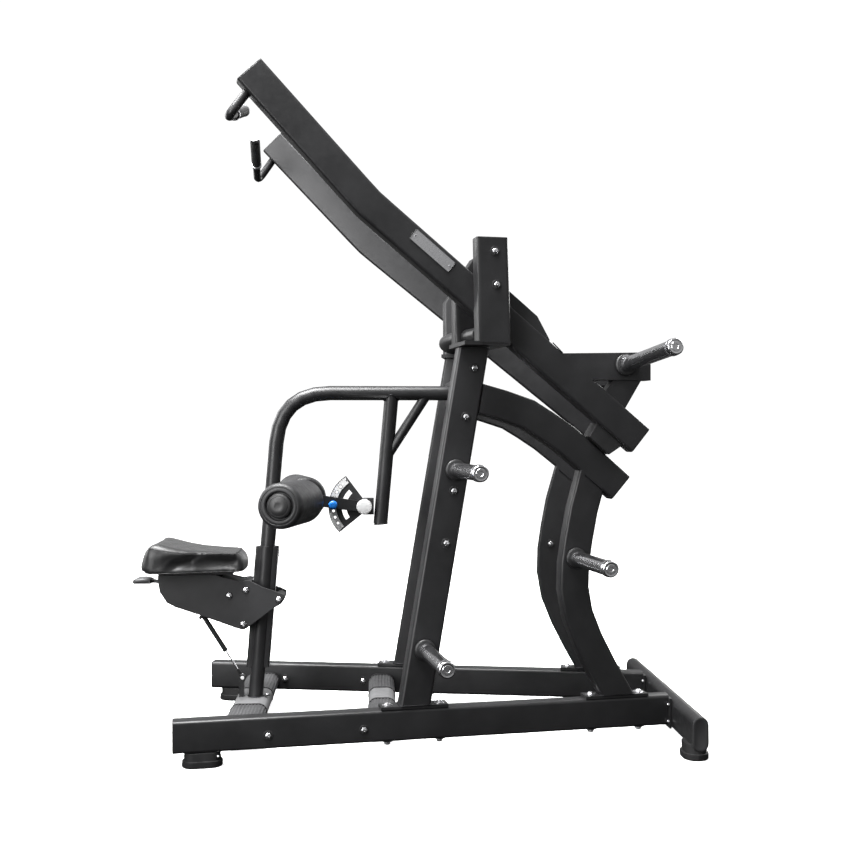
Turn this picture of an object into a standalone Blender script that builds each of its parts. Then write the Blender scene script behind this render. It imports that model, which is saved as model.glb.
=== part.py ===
"""Plate-loaded lat pulldown machine with two independent lever arms.

Metres, +Z up. The user sits on the -Y side and faces +Y, and X is left to right.
The two side frames are upright planes that run closer together towards the rear,
so most of the frame is laid out in side-frame coordinates: u runs rearward along
the base rail from its front end, v runs outward from the rail's outer face, and z is up.
"""

import math

import bmesh
import bpy
from mathutils import Vector

# ---------------------------------------------------------------- driving sizes
SPLAY = math.radians(9.6)  # plan angle of each side frame
RAIL_FRONT_X = 0.4755  # half width over the rails at their front ends
RAIL_FRONT_Y = -0.7278
RAIL_Z0, RAIL_Z1 = 0.0455, 0.1455
TUBE_W = 0.058  # side-frame tubes, outer face to inner face
TUBE_R = 0.010  # their corner radius
TUBE_H = 0.100
GAP = 0.0004  # clearance between separate pieces
PLATE_T = 0.010
CENTRE_Y = 0.00775  # slides the whole machine so that its bounding box is centred
REAR_Y = 0.8955  # rear cross member
REAR_W, REAR_H, REAR_Z0 = 0.052, 0.109, 0.027
REAR_HALF = 0.460
FRONT_BAR_Y, FOOT_BAR_Y = -0.540, -0.0920
UPRIGHT_U0, UPRIGHT_LEAN = 0.7500, 0.1691
UPRIGHT_TOP = 1.2960
BAR_R, BAR_Z = 0.0240, 1.3333
PIVOT_U, PIVOT_Z = 0.985, 1.540
ARM_V0, ARM_V1 = -0.026, 0.032
ARM_PATH = ((0.2275, 2.1305), (0.560, 1.7777), (0.597, 1.7395), (0.637, 1.7060), (1.499, 0.9966))
SHAFT_R = 0.0150
HORN_R, HORN_CAP_R = 0.0238, 0.0258
STORE_LEN, LOAD_LEN = 0.310, 0.385
PIPE_R = 0.0250
ADJ_Y, ADJ_Z = -0.1530, 0.7660  # pivot of the thigh roller adjuster
ADJ_R = 0.123
PIN_R = 0.107
ROLLER_Z = 0.7900
ROLLER_OUT = (0.360, -0.4175)  # x, y of the outer end of the roller's axle
ROLLER_MID_Y = -0.3400
ROLLER_R = 0.0740
POST_TOP, POST_Z0 = 0.630, 0.1106
POST_Y0, POST_LEAN = -0.5280, 0.0790  # at the bottom, and y per metre of height
POST_D, POST_W = 0.078, 0.028
SLIDE_Z0 = 0.212

SIN, COS = math.sin(SPLAY), math.cos(SPLAY)

for item in list(bpy.data.objects):
    bpy.data.objects.remove(item, do_unlink=True)

scene = bpy.context.scene
parts = bpy.data.collections.new("lat_pulldown_machine")
cutters = bpy.data.collections.new("cutters")
scene.collection.children.link(parts)
scene.collection.children.link(cutters)

FINISH = {
    "black_powder": ((0.016, 0.016, 0.018), 0.42, 0.0),
    "dark_powder": ((0.030, 0.030, 0.033), 0.45, 0.0),
    "grey_powder": ((0.11, 0.11, 0.115), 0.38, 0.2),
    "chrome": ((0.80, 0.80, 0.82), 0.12, 1.0),
    "steel": ((0.55, 0.55, 0.57), 0.30, 1.0),
    "rubber": ((0.014, 0.014, 0.014), 0.75, 0.0),
    "leather": ((0.018, 0.018, 0.019), 0.48, 0.0),
    "foam": ((0.022, 0.022, 0.024), 0.62, 0.0),
    "plastic": ((0.02, 0.02, 0.02), 0.40, 0.0),
    "blue": ((0.02, 0.20, 0.62), 0.35, 0.0),
    "white": ((0.75, 0.75, 0.75), 0.45, 0.0),
}


def finish(obj, key):
    colour, rough, metal = FINISH[key]
    mat = bpy.data.materials.new(obj.name + "_finish")
    mat.use_nodes = True
    shader = mat.node_tree.nodes["Principled BSDF"]
    shader.inputs["Base Color"].default_value = (*colour, 1)
    shader.inputs["Roughness"].default_value = rough
    shader.inputs["Metallic"].default_value = metal
    obj.data.materials.clear()
    obj.data.materials.append(mat)


def make(name, points, faces, key=None):
    """One closed mesh object with its faces turned outward. Without a finish it is a helper."""
    mesh = bpy.data.meshes.new(name)
    mesh.from_pydata([tuple(p) for p in points], [], faces)
    work = bmesh.new()
    work.from_mesh(mesh)
    bmesh.ops.recalc_face_normals(work, faces=work.faces)
    if work.calc_volume(signed=True) < 0:
        bmesh.ops.reverse_faces(work, faces=work.faces)
    work.to_mesh(mesh)
    work.free()
    obj = bpy.data.objects.new(name, mesh)
    if key:
        parts.objects.link(obj)
        finish(obj, key)
    else:
        cutters.objects.link(obj)
        obj.hide_render = True
        obj.display_type = "WIRE"
    return obj


def combine(first, others, operation):
    """Boolean of the first object with each of the others, kept as plain mesh."""
    for other in others:
        step = first.modifiers.new("combine", "BOOLEAN")
        step.object, step.operation, step.solver = other, operation, "EXACT"
    bpy.context.view_layer.update()
    graph = bpy.context.evaluated_depsgraph_get()
    mesh = bpy.data.meshes.new_from_object(first.evaluated_get(graph))
    first.modifiers.clear()
    first.data = mesh
    for other in others:
        bpy.data.objects.remove(other, do_unlink=True)
    return first


def joined(first, *others):
    return combine(first, others, "UNION")


def cut(first, *others):
    return combine(first, others, "DIFFERENCE")


def at_joint(obj, point):
    """Moves the object's origin to a joint's position and leaves the shape where it is."""
    for vert in obj.data.vertices:
        vert.co -= Vector(point)
    obj.location = point


def side(s, u, v, z):
    """World point of side-frame coordinates, on the right (s = 1) or the left (s = -1)."""
    return Vector((s * (RAIL_FRONT_X - SIN * u + COS * v), RAIL_FRONT_Y + COS * u + SIN * v, z))


def rounded(w, h, r, n=3):
    """Points of a rounded rectangle, w by h, about its centre."""
    out = []
    for cx, cy, start in ((1, 1, 0), (-1, 1, 90), (-1, -1, 180), (1, -1, 270)):
        for i in range(n):
            a = math.radians(start + 90 * i / (n - 1))
            out.append((cx * (w / 2 - r) + r * math.cos(a), cy * (h / 2 - r) + r * math.sin(a)))
    clean = []
    for p in out:
        if not clean or math.dist(p, clean[-1]) > 1e-6:
            clean.append(p)
    if math.dist(clean[0], clean[-1]) < 1e-6:
        clean.pop()
    return clean


def circle(r, n):
    return [(r * math.cos(math.tau * i / n), r * math.sin(math.tau * i / n)) for i in range(n)]


def loft(name, rings, key=None, ring_closed=False):
    """Skins rings of the same number of points, with a cap on each end unless the run closes on itself."""
    n = len(rings[0])
    points = [p for ring in rings for p in ring]
    faces = []
    count = len(rings)
    for j in range(count if ring_closed else count - 1):
        for i in range(n):
            a, b = j * n + i, j * n + (i + 1) % n
            c, d = ((j + 1) % count) * n + (i + 1) % n, ((j + 1) % count) * n + i
            faces.append((a, b, c, d))
    if not ring_closed:
        faces.append(tuple(range(n)))
        faces.append(tuple(reversed(range((count - 1) * n, count * n))))
    return make(name, points, faces, key)


def onto_plane(ring, along, point, normal):
    """Slides each point of a ring along a direction until it lies on a plane."""
    along, point, normal = Vector(along), Vector(point), Vector(normal)
    return [p + along * ((point - p).dot(normal) / along.dot(normal)) for p in ring]


def swept(path, section, across):
    """Rings of a section carried along a path that lies in a plane, mitred at each bend.

    The section's first number is measured in the plane, and its second along 'across'."""
    path = [Vector(p) for p in path]
    across = Vector(across).normalized()
    rings = []
    for i, p in enumerate(path):
        before = (p - path[i - 1]).normalized() if i else None
        after = (path[i + 1] - p).normalized() if i < len(path) - 1 else None
        run = ((before or after) + (after or before)).normalized()
        normal = run.cross(across).normalized()
        stretch = 1 / max(0.3, run.dot(after or before))
        rings.append([p + normal * a * stretch + across * b for a, b in section])
    return rings


def in_side(name, s, outline, v0, v1, key=None):
    """A plate cut to an outline of (u, z) points, between two distances from the side frame."""
    rings = [[side(s, u, v, z) for u, z in outline] for v in (v0, v1)]
    return loft(name, rings, key)


def in_x(name, outline, x0, x1, key=None):
    """A plate cut to an outline of (y, z) points, between two values of x."""
    return loft(name, [[Vector((x, y, z)) for y, z in outline] for x in (x0, x1)], key)


def box(name, x0, x1, y0, y1, z0, z1, key=None):
    return in_x(name, ((y0, z0), (y1, z0), (y1, z1), (y0, z1)), x0, x1, key)


def turned(name, start, along, profile, n=16, key=None, bored=False):
    """A turned piece. The profile is (distance along the axis, radius) pairs.

    A solid piece is capped at both ends, and a bored piece's profile is a closed outline."""
    along = Vector(along).normalized()
    side_a = along.cross(Vector((0, 0, 1)))
    if side_a.length < 0.1:
        side_a = along.cross(Vector((0, 1, 0)))
    side_a.normalize()
    side_b = along.cross(side_a)
    start = Vector(start)
    rings = [[start + along * t + side_a * a + side_b * b for a, b in circle(r, n)] for t, r in profile]
    return loft(name, rings, key, ring_closed=bored)


def pipe(name, path, r, n=14, key=None, across=(1, 0, 0), first=None, last=None):
    """A round tube along a plane path. first and last are planes (point, normal) that trim its ends."""
    rings = swept(path, circle(r, n), across)
    if first:
        rings[0] = onto_plane(rings[0], Vector(path[1]) - Vector(path[0]), *first)
    if last:
        rings[-1] = onto_plane(rings[-1], Vector(path[-1]) - Vector(path[-2]), *last)
    return loft(name, rings, key)


def upright_u(z):
    return UPRIGHT_U0 + UPRIGHT_LEAN * (z - 0.152)


def sign_name(s):
    return "right" if s > 0 else "left"


# ---------------------------------------------------------------- base
def base_rail(s):
    section = rounded(TUBE_W, RAIL_Z1 - RAIL_Z0, TUBE_R)
    zc = (RAIL_Z0 + RAIL_Z1) / 2
    y_end = REAR_Y - REAR_W / 2 - GAP - 0.008
    front = [side(s, 0, v - TUBE_W / 2, zc + z) for v, z in section]
    rear = []
    for v, z in section:
        v -= TUBE_W / 2
        u = (y_end + 0.002 - RAIL_FRONT_Y - SIN * v) / COS
        rear.append(side(s, u, v, zc + z))
    rail = loft("base_rail_" + sign_name(s), [front, rear], "black_powder")
    xm = sum(p.x for p in rear) / len(rear)
    flange = box("flange", xm - 0.042, xm + 0.042, y_end, y_end + 0.008, RAIL_Z0 - 0.009, RAIL_Z1 - 0.008)
    return joined(rail, flange)


def inner_face_x(y, v=-TUBE_W - GAP):
    u = (y - RAIL_FRONT_Y - SIN * v) / COS
    return RAIL_FRONT_X - SIN * u + COS * v


def cross_bar(name, yc, width, z0, z1, key="grey_powder"):
    r = (z1 - z0) / 2 - 0.0005
    section = rounded(width, z1 - z0, r, 6)
    zc = (z0 + z1) / 2
    rings = [[Vector((s * inner_face_x(yc + a), yc + a, zc + b)) for a, b in section] for s in (-1, 1)]
    return loft(name, rings, key)


def rear_member():
    section = rounded(REAR_W, REAR_H, REAR_W / 2 - 0.0005, 6)
    zc = REAR_Z0 + REAR_H / 2
    rings = [[Vector((x, REAR_Y + a, zc + b)) for a, b in section] for x in (-REAR_HALF, REAR_HALF)]
    return loft("rear_cross_member", rings, "black_powder")


def foot(name, cx, cy, turn, long, wide, top, cradle=None):
    """A stepped rubber foot, oval in plan."""
    rings = []
    for z, grow in ((0, -0.003), (0.003, 0), (0.020, 0), (0.0205, -0.006), (top - 0.001, -0.006), (top, -0.0065)):
        ring = []
        for a, b in rounded(long + 2 * grow, wide + 2 * grow, (wide + 2 * grow) / 2 - 0.0005, 5):
            ring.append(Vector((cx + b * math.cos(turn) - a * math.sin(turn), cy + b * math.sin(turn) + a * math.cos(turn), z)))
        rings.append(ring)
    obj = loft(name, rings, "rubber")
    return cut(obj, cradle) if cradle else obj


def feet():
    for s in (1, -1):
        p = side(s, 0.088, -TUBE_W / 2, 0)
        foot("foot_front_" + sign_name(s), p.x, p.y, s * SPLAY, 0.124, 0.074, RAIL_Z0 - GAP)
        section = rounded(REAR_W + 2 * GAP, REAR_H + 2 * GAP, REAR_W / 2, 6)
        zc = REAR_Z0 + REAR_H / 2
        x = s * (REAR_HALF - 0.045)
        cradle = loft("cradle", [[Vector((x + dx, REAR_Y + a, zc + b)) for a, b in section] for dx in (-0.1, 0.1)])
        foot("foot_rear_" + sign_name(s), x, REAR_Y - 0.008, math.pi / 2, 0.110, 0.082, 0.050, cradle)


# ---------------------------------------------------------------- side frames
def base_plate(s, u0, u1):
    return in_side("base_plate", s, ((u0, RAIL_Z1 + GAP), (u1, RAIL_Z1 + GAP), (u1, RAIL_Z1 + PLATE_T), (u0, RAIL_Z1 + PLATE_T)), -TUBE_W + 0.0005, -0.0005)


def upright(s):
    half = TUBE_H / 2 * math.hypot(1, UPRIGHT_LEAN)
    section = rounded(2 * half, TUBE_W, TUBE_R)
    rings = [[side(s, upright_u(z) + a, b - TUBE_W / 2, z) for a, b in section] for z in (RAIL_Z1 + 0.004, UPRIGHT_TOP)]
    post = loft("upright_" + sign_name(s), rings, "black_powder")
    return joined(post, base_plate(s, 0.640, 0.858))


BEAM_PATH = ((0.962, 1.1305), (1.040, 1.1095), (1.126, 1.0810), (1.187, 1.0440), (1.255, 0.9985), (1.335, 0.9330), (1.4425, 0.8405))
LEG_PATH = ((1.360, 0.925), (1.316, 0.768), (1.298, 0.672), (1.286, 0.590), (1.284, 0.510), (1.299, 0.425), (1.334, 0.338), (1.385, 0.240), (1.437, 0.150))


def side_sweep(name, s, path, height, v0, v1, key=None, r=TUBE_R):
    section = [(a, b + (v0 + v1) / 2) for a, b in rounded(height, v1 - v0, r)]
    flat = [Vector((u, 0, z)) for u, z in path]
    rings = swept(flat, section, (0, 1, 0))
    return [[side(s, p.x, p.y, p.z) for p in ring] for ring in rings]


def rear_frame(s):
    rings = side_sweep("beam", s, BEAM_PATH, TUBE_H, -TUBE_W, 0)
    lean = Vector((UPRIGHT_LEAN, 1))
    face_u = upright_u(1.13) + TUBE_H / 2 * math.hypot(1, UPRIGHT_LEAN) + GAP
    a, b = side(s, face_u, 0, 1.13), side(s, face_u + lean.x, 0, 1.13 + lean.y)
    across = side(s, 0, 1, 0) - side(s, 0, 0, 0)
    normal = (b - a).cross(across)
    run = side(s, BEAM_PATH[1][0], 0, BEAM_PATH[1][1]) - side(s, BEAM_PATH[0][0], 0, BEAM_PATH[0][1])
    rings[0] = onto_plane(rings[0], run, a, normal)
    beam = loft("rear_frame_" + sign_name(s), rings, "black_powder")
    leg_rings = side_sweep("leg", s, LEG_PATH, TUBE_H, -TUBE_W + 0.0006, -0.0006)
    leg_rings[-1] = onto_plane(leg_rings[-1], leg_rings[-1][0] - leg_rings[-2][0], (0, 0, RAIL_Z1 + 0.004), (0, 0, 1))
    leg = loft("leg", leg_rings)
    return joined(beam, leg, base_plate(s, 1.322, 1.540))


def top_bar_path():
    half = []
    for x, y in ((0.0, 0.131), (0.060, 0.1340), (0.120, 0.1425), (0.180, 0.1565), (0.240, 0.1755), (0.320, 0.2020)):
        half.append(Vector((x, y, BAR_Z)))
    return [Vector((-p.x, p.y, p.z)) for p in reversed(half[1:])] + half


def top_bar(name, r, key=None, v_end=0.0416):
    path = top_bar_path()
    rings = swept(path, circle(r, 16), (0, 0, 1))
    for s, i, j in ((-1, 0, 1), (1, -1, -2)):
        normal = side(s, 0, 1, 0) - side(s, 0, 0, 0)
        rings[i] = onto_plane(rings[i], path[i] - path[j], side(s, 1.0, v_end, BAR_Z), normal)
    return loft(name, rings, key)


def pivot_bracket(s):
    """The fork that carries a lever arm: a foot plate on the upright, an outer and an inner post."""
    z0, z1 = UPRIGHT_TOP + GAP, UPRIGHT_TOP + GAP + 0.012
    plate = in_side("pivot_bracket_" + sign_name(s), s, ((0.886, z0), (1.0340, z0), (1.0340, z1), (0.886, z1)), -0.1090, 0.0980, "black_powder")

    def post(v0, v1, levels):
        section = rounded(1, 1, 0.12)
        rings = []
        for z, ua, ub in levels:
            rings.append([side(s, (ua + ub) / 2 + a * (ub - ua), (v0 + v1) / 2 + b * (v1 - v0), z) for a, b in section])
        return loft("post", rings)

    outer = post(0.042, 0.100, ((z1 - 0.004, 0.930, 1.037), (1.632, 0.924, 1.026)))
    inner = post(-0.1063, -0.0520, ((z1 - 0.004, 0.8912, 1.0120), (1.4950, 0.8908, 1.0095), (1.5850, 0.9500, 1.0080)))
    bore = turned("bore", side(s, PIVOT_U, -0.2, PIVOT_Z), side(s, 0, 1, 0) - side(s, 0, 0, 0), ((0, SHAFT_R + 0.0006), (0.18, SHAFT_R + 0.0006)), 16)
    bracket = joined(plate, outer, inner)
    return cut(bracket, top_bar("bar_cutter", BAR_R + GAP, v_end=0.0418), bore)


def pivot_shaft(s):
    axis = side(s, 0, 1, 0) - side(s, 0, 0, 0)
    shaft = turned("pivot_shaft_" + sign_name(s), side(s, PIVOT_U, -0.118, PIVOT_Z), axis, ((0, SHAFT_R), (0.157, SHAFT_R)), 16, "steel")
    head = turned("head", side(s, PIVOT_U, -0.1205, PIVOT_Z), axis, ((0, 0.020), (0.012, 0.020)), 12)
    flange = in_side("flange", s, ((PIVOT_U - 0.026, PIVOT_Z - 0.074), (PIVOT_U + 0.026, PIVOT_Z - 0.074), (PIVOT_U + 0.018, PIVOT_Z + 0.074), (PIVOT_U - 0.034, PIVOT_Z + 0.074)), 0.0366, 0.0416)
    return joined(shaft, head, flange)


def storage_horn(name, s, u, z):
    axis = side(s, 0, 1, 0) - side(s, 0, 0, 0)
    n = STORE_LEN
    profile = ((GAP, 0.0310), (0.007, 0.0310), (0.009, 0.0285), (0.0095, HORN_R), (n - 0.022, HORN_R), (n - 0.0215, HORN_CAP_R), (n - 0.003, HORN_CAP_R), (n, HORN_CAP_R - 0.003))
    return turned(name, side(s, u, 0, z), axis, profile, 16, "chrome")


def lower_edge(u):
    """z of the lever arm's straight lower edge."""
    (ua, za), (ub, zb) = ARM_PATH[3], ARM_PATH[4]
    slope = (zb - za) / (ub - ua)
    return za + slope * (u - ua) - TUBE_H / 2 * math.hypot(1, slope)


def beam_top(u):
    """z of the rear beam's straight upper edge."""
    (ua, za), (ub, zb) = BEAM_PATH[5], BEAM_PATH[6]
    slope = (zb - za) / (ub - ua)
    return za + slope * (u - ua) + TUBE_H / 2 * math.hypot(1, slope)


def bumper(s):
    pad = 0.0005
    outline = (
        (1.352, lower_edge(1.352) - pad),
        (1.3255, beam_top(1.3255) + pad + 0.0004),
        (1.393, beam_top(1.393) + pad),
        (1.440, lower_edge(1.440) - pad),
    )
    return in_side("stop_bumper_" + sign_name(s), s, outline, -0.046, 0.022, "rubber")


def cross_tube():
    """Box tube between the uprights that holds the rear end of the hold-down pipe."""
    zc = 1.158
    yc = side(1, upright_u(zc), -TUBE_W / 2, 0).y
    section = rounded(0.060, 0.090, 0.008)
    rings = [[Vector((s * inner_face_x(yc + a), yc + a, zc + b)) for a, b in section] for s in (-1, 1)]
    return loft("upright_cross_tube", rings, "black_powder"), yc - 0.030


# ---------------------------------------------------------------- lever arms
def lever_arm(s):
    name = "lever_arm_" + sign_name(s)
    arm = loft(name, side_sweep(name, s, ARM_PATH, TUBE_H, ARM_V0, ARM_V1), "black_powder")
    hump = in_side("hump", s, ((0.958, 1.480), (0.958, 1.5250), (0.985, 1.5300), (1.056, 1.4720), (1.146, 1.3970), (1.187, 1.3230), (1.187, 1.280), (1.0, 1.430)), ARM_V0 + 0.006, ARM_V1 - 0.006)
    out_outline = ((1.235, 1.193), (1.535, 1.193), (1.535, 1.246), (1.492, 1.285), (1.215, 1.277))
    outrigger = in_side("outrigger", s, out_outline, ARM_V0 + 0.001, ARM_V1 - 0.001)
    brace = in_side("brace", s, ((1.413, 1.200), (1.508, 1.200), (1.441, 1.090), (1.372, 1.148)), ARM_V0 + 0.007, ARM_V1 - 0.007)
    axis = side(s, 0, 1, 0) - side(s, 0, 0, 0)
    hub = turned("hub", side(s, PIVOT_U, ARM_V0 - 0.016, PIVOT_Z), axis, ((0, 0.036), (ARM_V1 - ARM_V0 + 0.0175, 0.036)), 20)
    bore = turned("bore", side(s, PIVOT_U, -0.1, PIVOT_Z), axis, ((0, 0.0225), (0.2, 0.0225)), 20)
    arm = cut(joined(arm, hump, outrigger, brace, hub), bore)
    at_joint(arm, side(s, PIVOT_U, 0, PIVOT_Z))
    return arm


def pivot_bearing(s):
    axis = side(s, 0, 1, 0) - side(s, 0, 0, 0)
    length = ARM_V1 - ARM_V0 + 0.0175
    profile = ((0, SHAFT_R + 0.0004), (0, 0.0221), (length, 0.0221), (length, SHAFT_R + 0.0004))
    obj = turned("pivot_bearing_" + sign_name(s), side(s, PIVOT_U, ARM_V0 - 0.016, PIVOT_Z), axis, profile, 20, "steel", bored=True)
    at_joint(obj, side(s, PIVOT_U, 0, PIVOT_Z))
    return obj


def handle_points(s):
    """Bent handle: out of the arm's underside, round a bend, then inward and up to the grip's end."""
    vm = (ARM_V0 + ARM_V1) / 2
    root = side(s, 0.2200, vm, 2.0650)
    elbow = side(s, 0.1620, vm, 1.9860)
    end = Vector((s * 0.170, -0.5490, 2.0850))
    return root, elbow, end


def handle(s):
    root, elbow, end = handle_points(s)
    down, run = (elbow - root).normalized(), (end - elbow).normalized()
    bend = 0.042
    a, b = elbow - down * bend, elbow + run * bend
    path = [root]
    for i in range(6):
        t = i / 5
        path.append(a * (1 - t) ** 2 + elbow * 2 * t * (1 - t) + b * t * t)
    path.append(end - run * 0.004)
    across = down.cross(run)
    rings = swept(path, circle(0.0142, 12), across)
    (ua, za), (ub, zb) = ARM_PATH[0], ARM_PATH[1]
    slope = Vector((ub - ua, zb - za)).normalized()
    u0, z0 = ua + slope.y * (TUBE_H / 2 + GAP), za - slope.x * (TUBE_H / 2 + GAP)
    edge = side(s, u0 + slope.x, 0, z0 + slope.y) - side(s, u0, 0, z0)
    normal = edge.cross(side(s, 0, 1, 0) - side(s, 0, 0, 0))
    rings[0] = onto_plane(rings[0], down, side(s, u0, 0, z0), normal)
    obj = loft("arm_handle_" + sign_name(s), rings, "black_powder")
    at_joint(obj, side(s, PIVOT_U, 0, PIVOT_Z))
    grip_len = 0.180
    profile = ((0, 0.0146), (0, 0.0160), (0.004, 0.0172), (grip_len - 0.003, 0.0172), (grip_len, 0.0160), (grip_len, 0.0146))
    grip = turned("hand_grip_" + sign_name(s), end - run * grip_len, run, profile, 14, "rubber", bored=True)
    at_joint(grip, side(s, PIVOT_U, 0, PIVOT_Z))


def loading_horn(s):
    axis = (side(s, 0, 1, 0) - side(s, 0, 0, 0)).normalized()
    tilt = (axis * math.cos(math.radians(5)) + Vector((0, 0, 1)) * math.sin(math.radians(5))).normalized()
    base = side(s, 1.447, ARM_V1, 1.2430)
    n = LOAD_LEN
    collar = turned("loading_horn_" + sign_name(s), base, axis, ((GAP, 0.0340), (0.008, 0.0340), (0.010, 0.0310)), 16, "chrome")
    rod = turned("rod", base + tilt * 0.006, tilt, ((0, HORN_R), (n - 0.024, HORN_R), (n - 0.0235, HORN_CAP_R), (n - 0.009, HORN_CAP_R), (n - 0.006, HORN_CAP_R - 0.003)), 16)
    obj = joined(collar, rod)
    at_joint(obj, side(s, PIVOT_U, 0, PIVOT_Z))


def badge(s):
    """Blank name plate on the outer face of the lever arm."""
    (ua, za), (ub, zb) = ARM_PATH[3], ARM_PATH[4]
    run = Vector((ub - ua, zb - za)).normalized()
    up = Vector((-run.y, run.x))
    centre = Vector((0.798, 1.5955))
    outline = [tuple(centre + run * a + up * b) for a, b in ((-0.080, -0.019), (0.080, -0.019), (0.080, 0.019), (-0.080, 0.019))]
    obj = in_side("arm_badge_" + sign_name(s), s, outline, ARM_V1 + GAP, ARM_V1 + 0.0018, "white")
    at_joint(obj, side(s, PIVOT_U, 0, PIVOT_Z))


# ---------------------------------------------------------------- hold-down frame and thigh rollers
def post_y(z):
    return POST_Y0 + POST_LEAN * (z - POST_Z0)


def hold_down(y_rear):
    lean = Vector((0, POST_LEAN, 1)).normalized()
    z0 = POST_TOP + GAP
    corner = Vector((0, post_y(1.158) + 0.002, 1.158))
    start = Vector((0, post_y(z0), z0))
    turn = 0.172
    a, b = corner - lean * turn, corner + Vector((0, 1, 0)) * turn
    path = [start]
    for i in range(7):
        t = i / 6
        path.append(a * (1 - t) ** 2 + corner * 2 * t * (1 - t) + b * t * t)
    path.append(Vector((0, y_rear - GAP, 1.158)))
    frame = pipe("hold_down_frame", path, PIPE_R, 16, "black_powder", first=((0, 0, z0), (0, 0, 1)))
    drop = pipe("drop", (Vector((0, -0.0585, 1.150)), Vector((0, -0.0975, 0.705))), PIPE_R - 0.0006, 16)
    brace = pipe("brace", (Vector((0, -0.0660, 0.9520)), Vector((0, 0.0580, 1.1440))), 0.0172, 10)
    joined(frame, drop, brace)
    foot_end, top_end = (Vector((0, post_y(z), z)) for z in (POST_Z0, POST_TOP))
    post = pipe("seat_post", (foot_end, top_end), PIPE_R, 16, "black_powder", first=((0, 0, POST_Z0), (0, 0, 1)), last=((0, 0, POST_TOP), (0, 0, 1)))
    # The seat's guide wheels run on the front and rear faces of this flat profile.
    slide = rounded(POST_D, POST_W, 0.006)
    rings = [[Vector((b, post_y(z) + a, z)) for a, b in slide] for z in (SLIDE_Z0, POST_TOP - 0.0008)]
    joined(post, loft("slide", rings))


def arc(cy, cz, r, a0, a1, n):
    return [(cy + r * math.cos(math.radians(a0 + (a1 - a0) * i / (n - 1))), cz + r * math.sin(math.radians(a0 + (a1 - a0) * i / (n - 1)))) for i in range(n)]


PIN_STEPS = (-36, -24, -12, 0, 12, 24, 36)
PIN_REST = 176.0


def adjuster():
    fan = arc(ADJ_Y, ADJ_Z, ADJ_R, 121, 226, 12) + [(ADJ_Y - 0.006, ADJ_Z - 0.024), (ADJ_Y + 0.010, ADJ_Z - 0.024), (ADJ_Y + 0.010, ADJ_Z + 0.024), (ADJ_Y - 0.002, ADJ_Z + 0.024)]
    plate = in_x("sector_plate", fan, 0.0190, 0.0250, "black_powder")
    drop_y = -0.0585 + (-0.0975 + 0.0585) * (1.150 - ADJ_Z) / (1.150 - 0.705)
    block_y = drop_y - PIPE_R - 0.0030
    block = box("block", -0.0240, 0.0249, ADJ_Y - 0.004, block_y, ADJ_Z - 0.028, ADJ_Z + 0.028)
    plate = joined(plate, block)
    band_outline = arc(ADJ_Y, ADJ_Z, ADJ_R - 0.001, 123, 224, 12) + arc(ADJ_Y, ADJ_Z, ADJ_R - 0.026, 224, 123, 12)
    band = in_x("scale_band", band_outline, 0.0254, 0.0266, "white")
    for obj in (plate, band):
        holes = []
        for step in PIN_STEPS:
            a = math.radians(PIN_REST + step)
            holes.append(turned("hole", (0.0, ADJ_Y + PIN_R * math.cos(a), ADJ_Z + PIN_R * math.sin(a)), (1, 0, 0), ((0, 0.0052), (0.05, 0.0052)), 8))
        if obj is plate:
            for a0, a1 in ((132, 166), (184, 216)):
                slot = arc(ADJ_Y, ADJ_Z, 0.078, a0, a1, 6) + arc(ADJ_Y, ADJ_Z, 0.062, a1, a0, 6)
                holes.append(in_x("slot", slot, 0.0, 0.05))
            holes.append(turned("hole", (-0.05, ADJ_Y, ADJ_Z), (1, 0, 0), ((0, 0.0105), (0.1, 0.0105)), 14))
        cut(obj, *holes)
    axle = turned("adjuster_bolt", (-0.0300, ADJ_Y, ADJ_Z), (1, 0, 0), ((0, 0.0170), (0.0055, 0.0170), (0.0056, 0.0100), (0.0640, 0.0100), (0.0641, 0.0100)), 14, "steel")
    return axle


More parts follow.
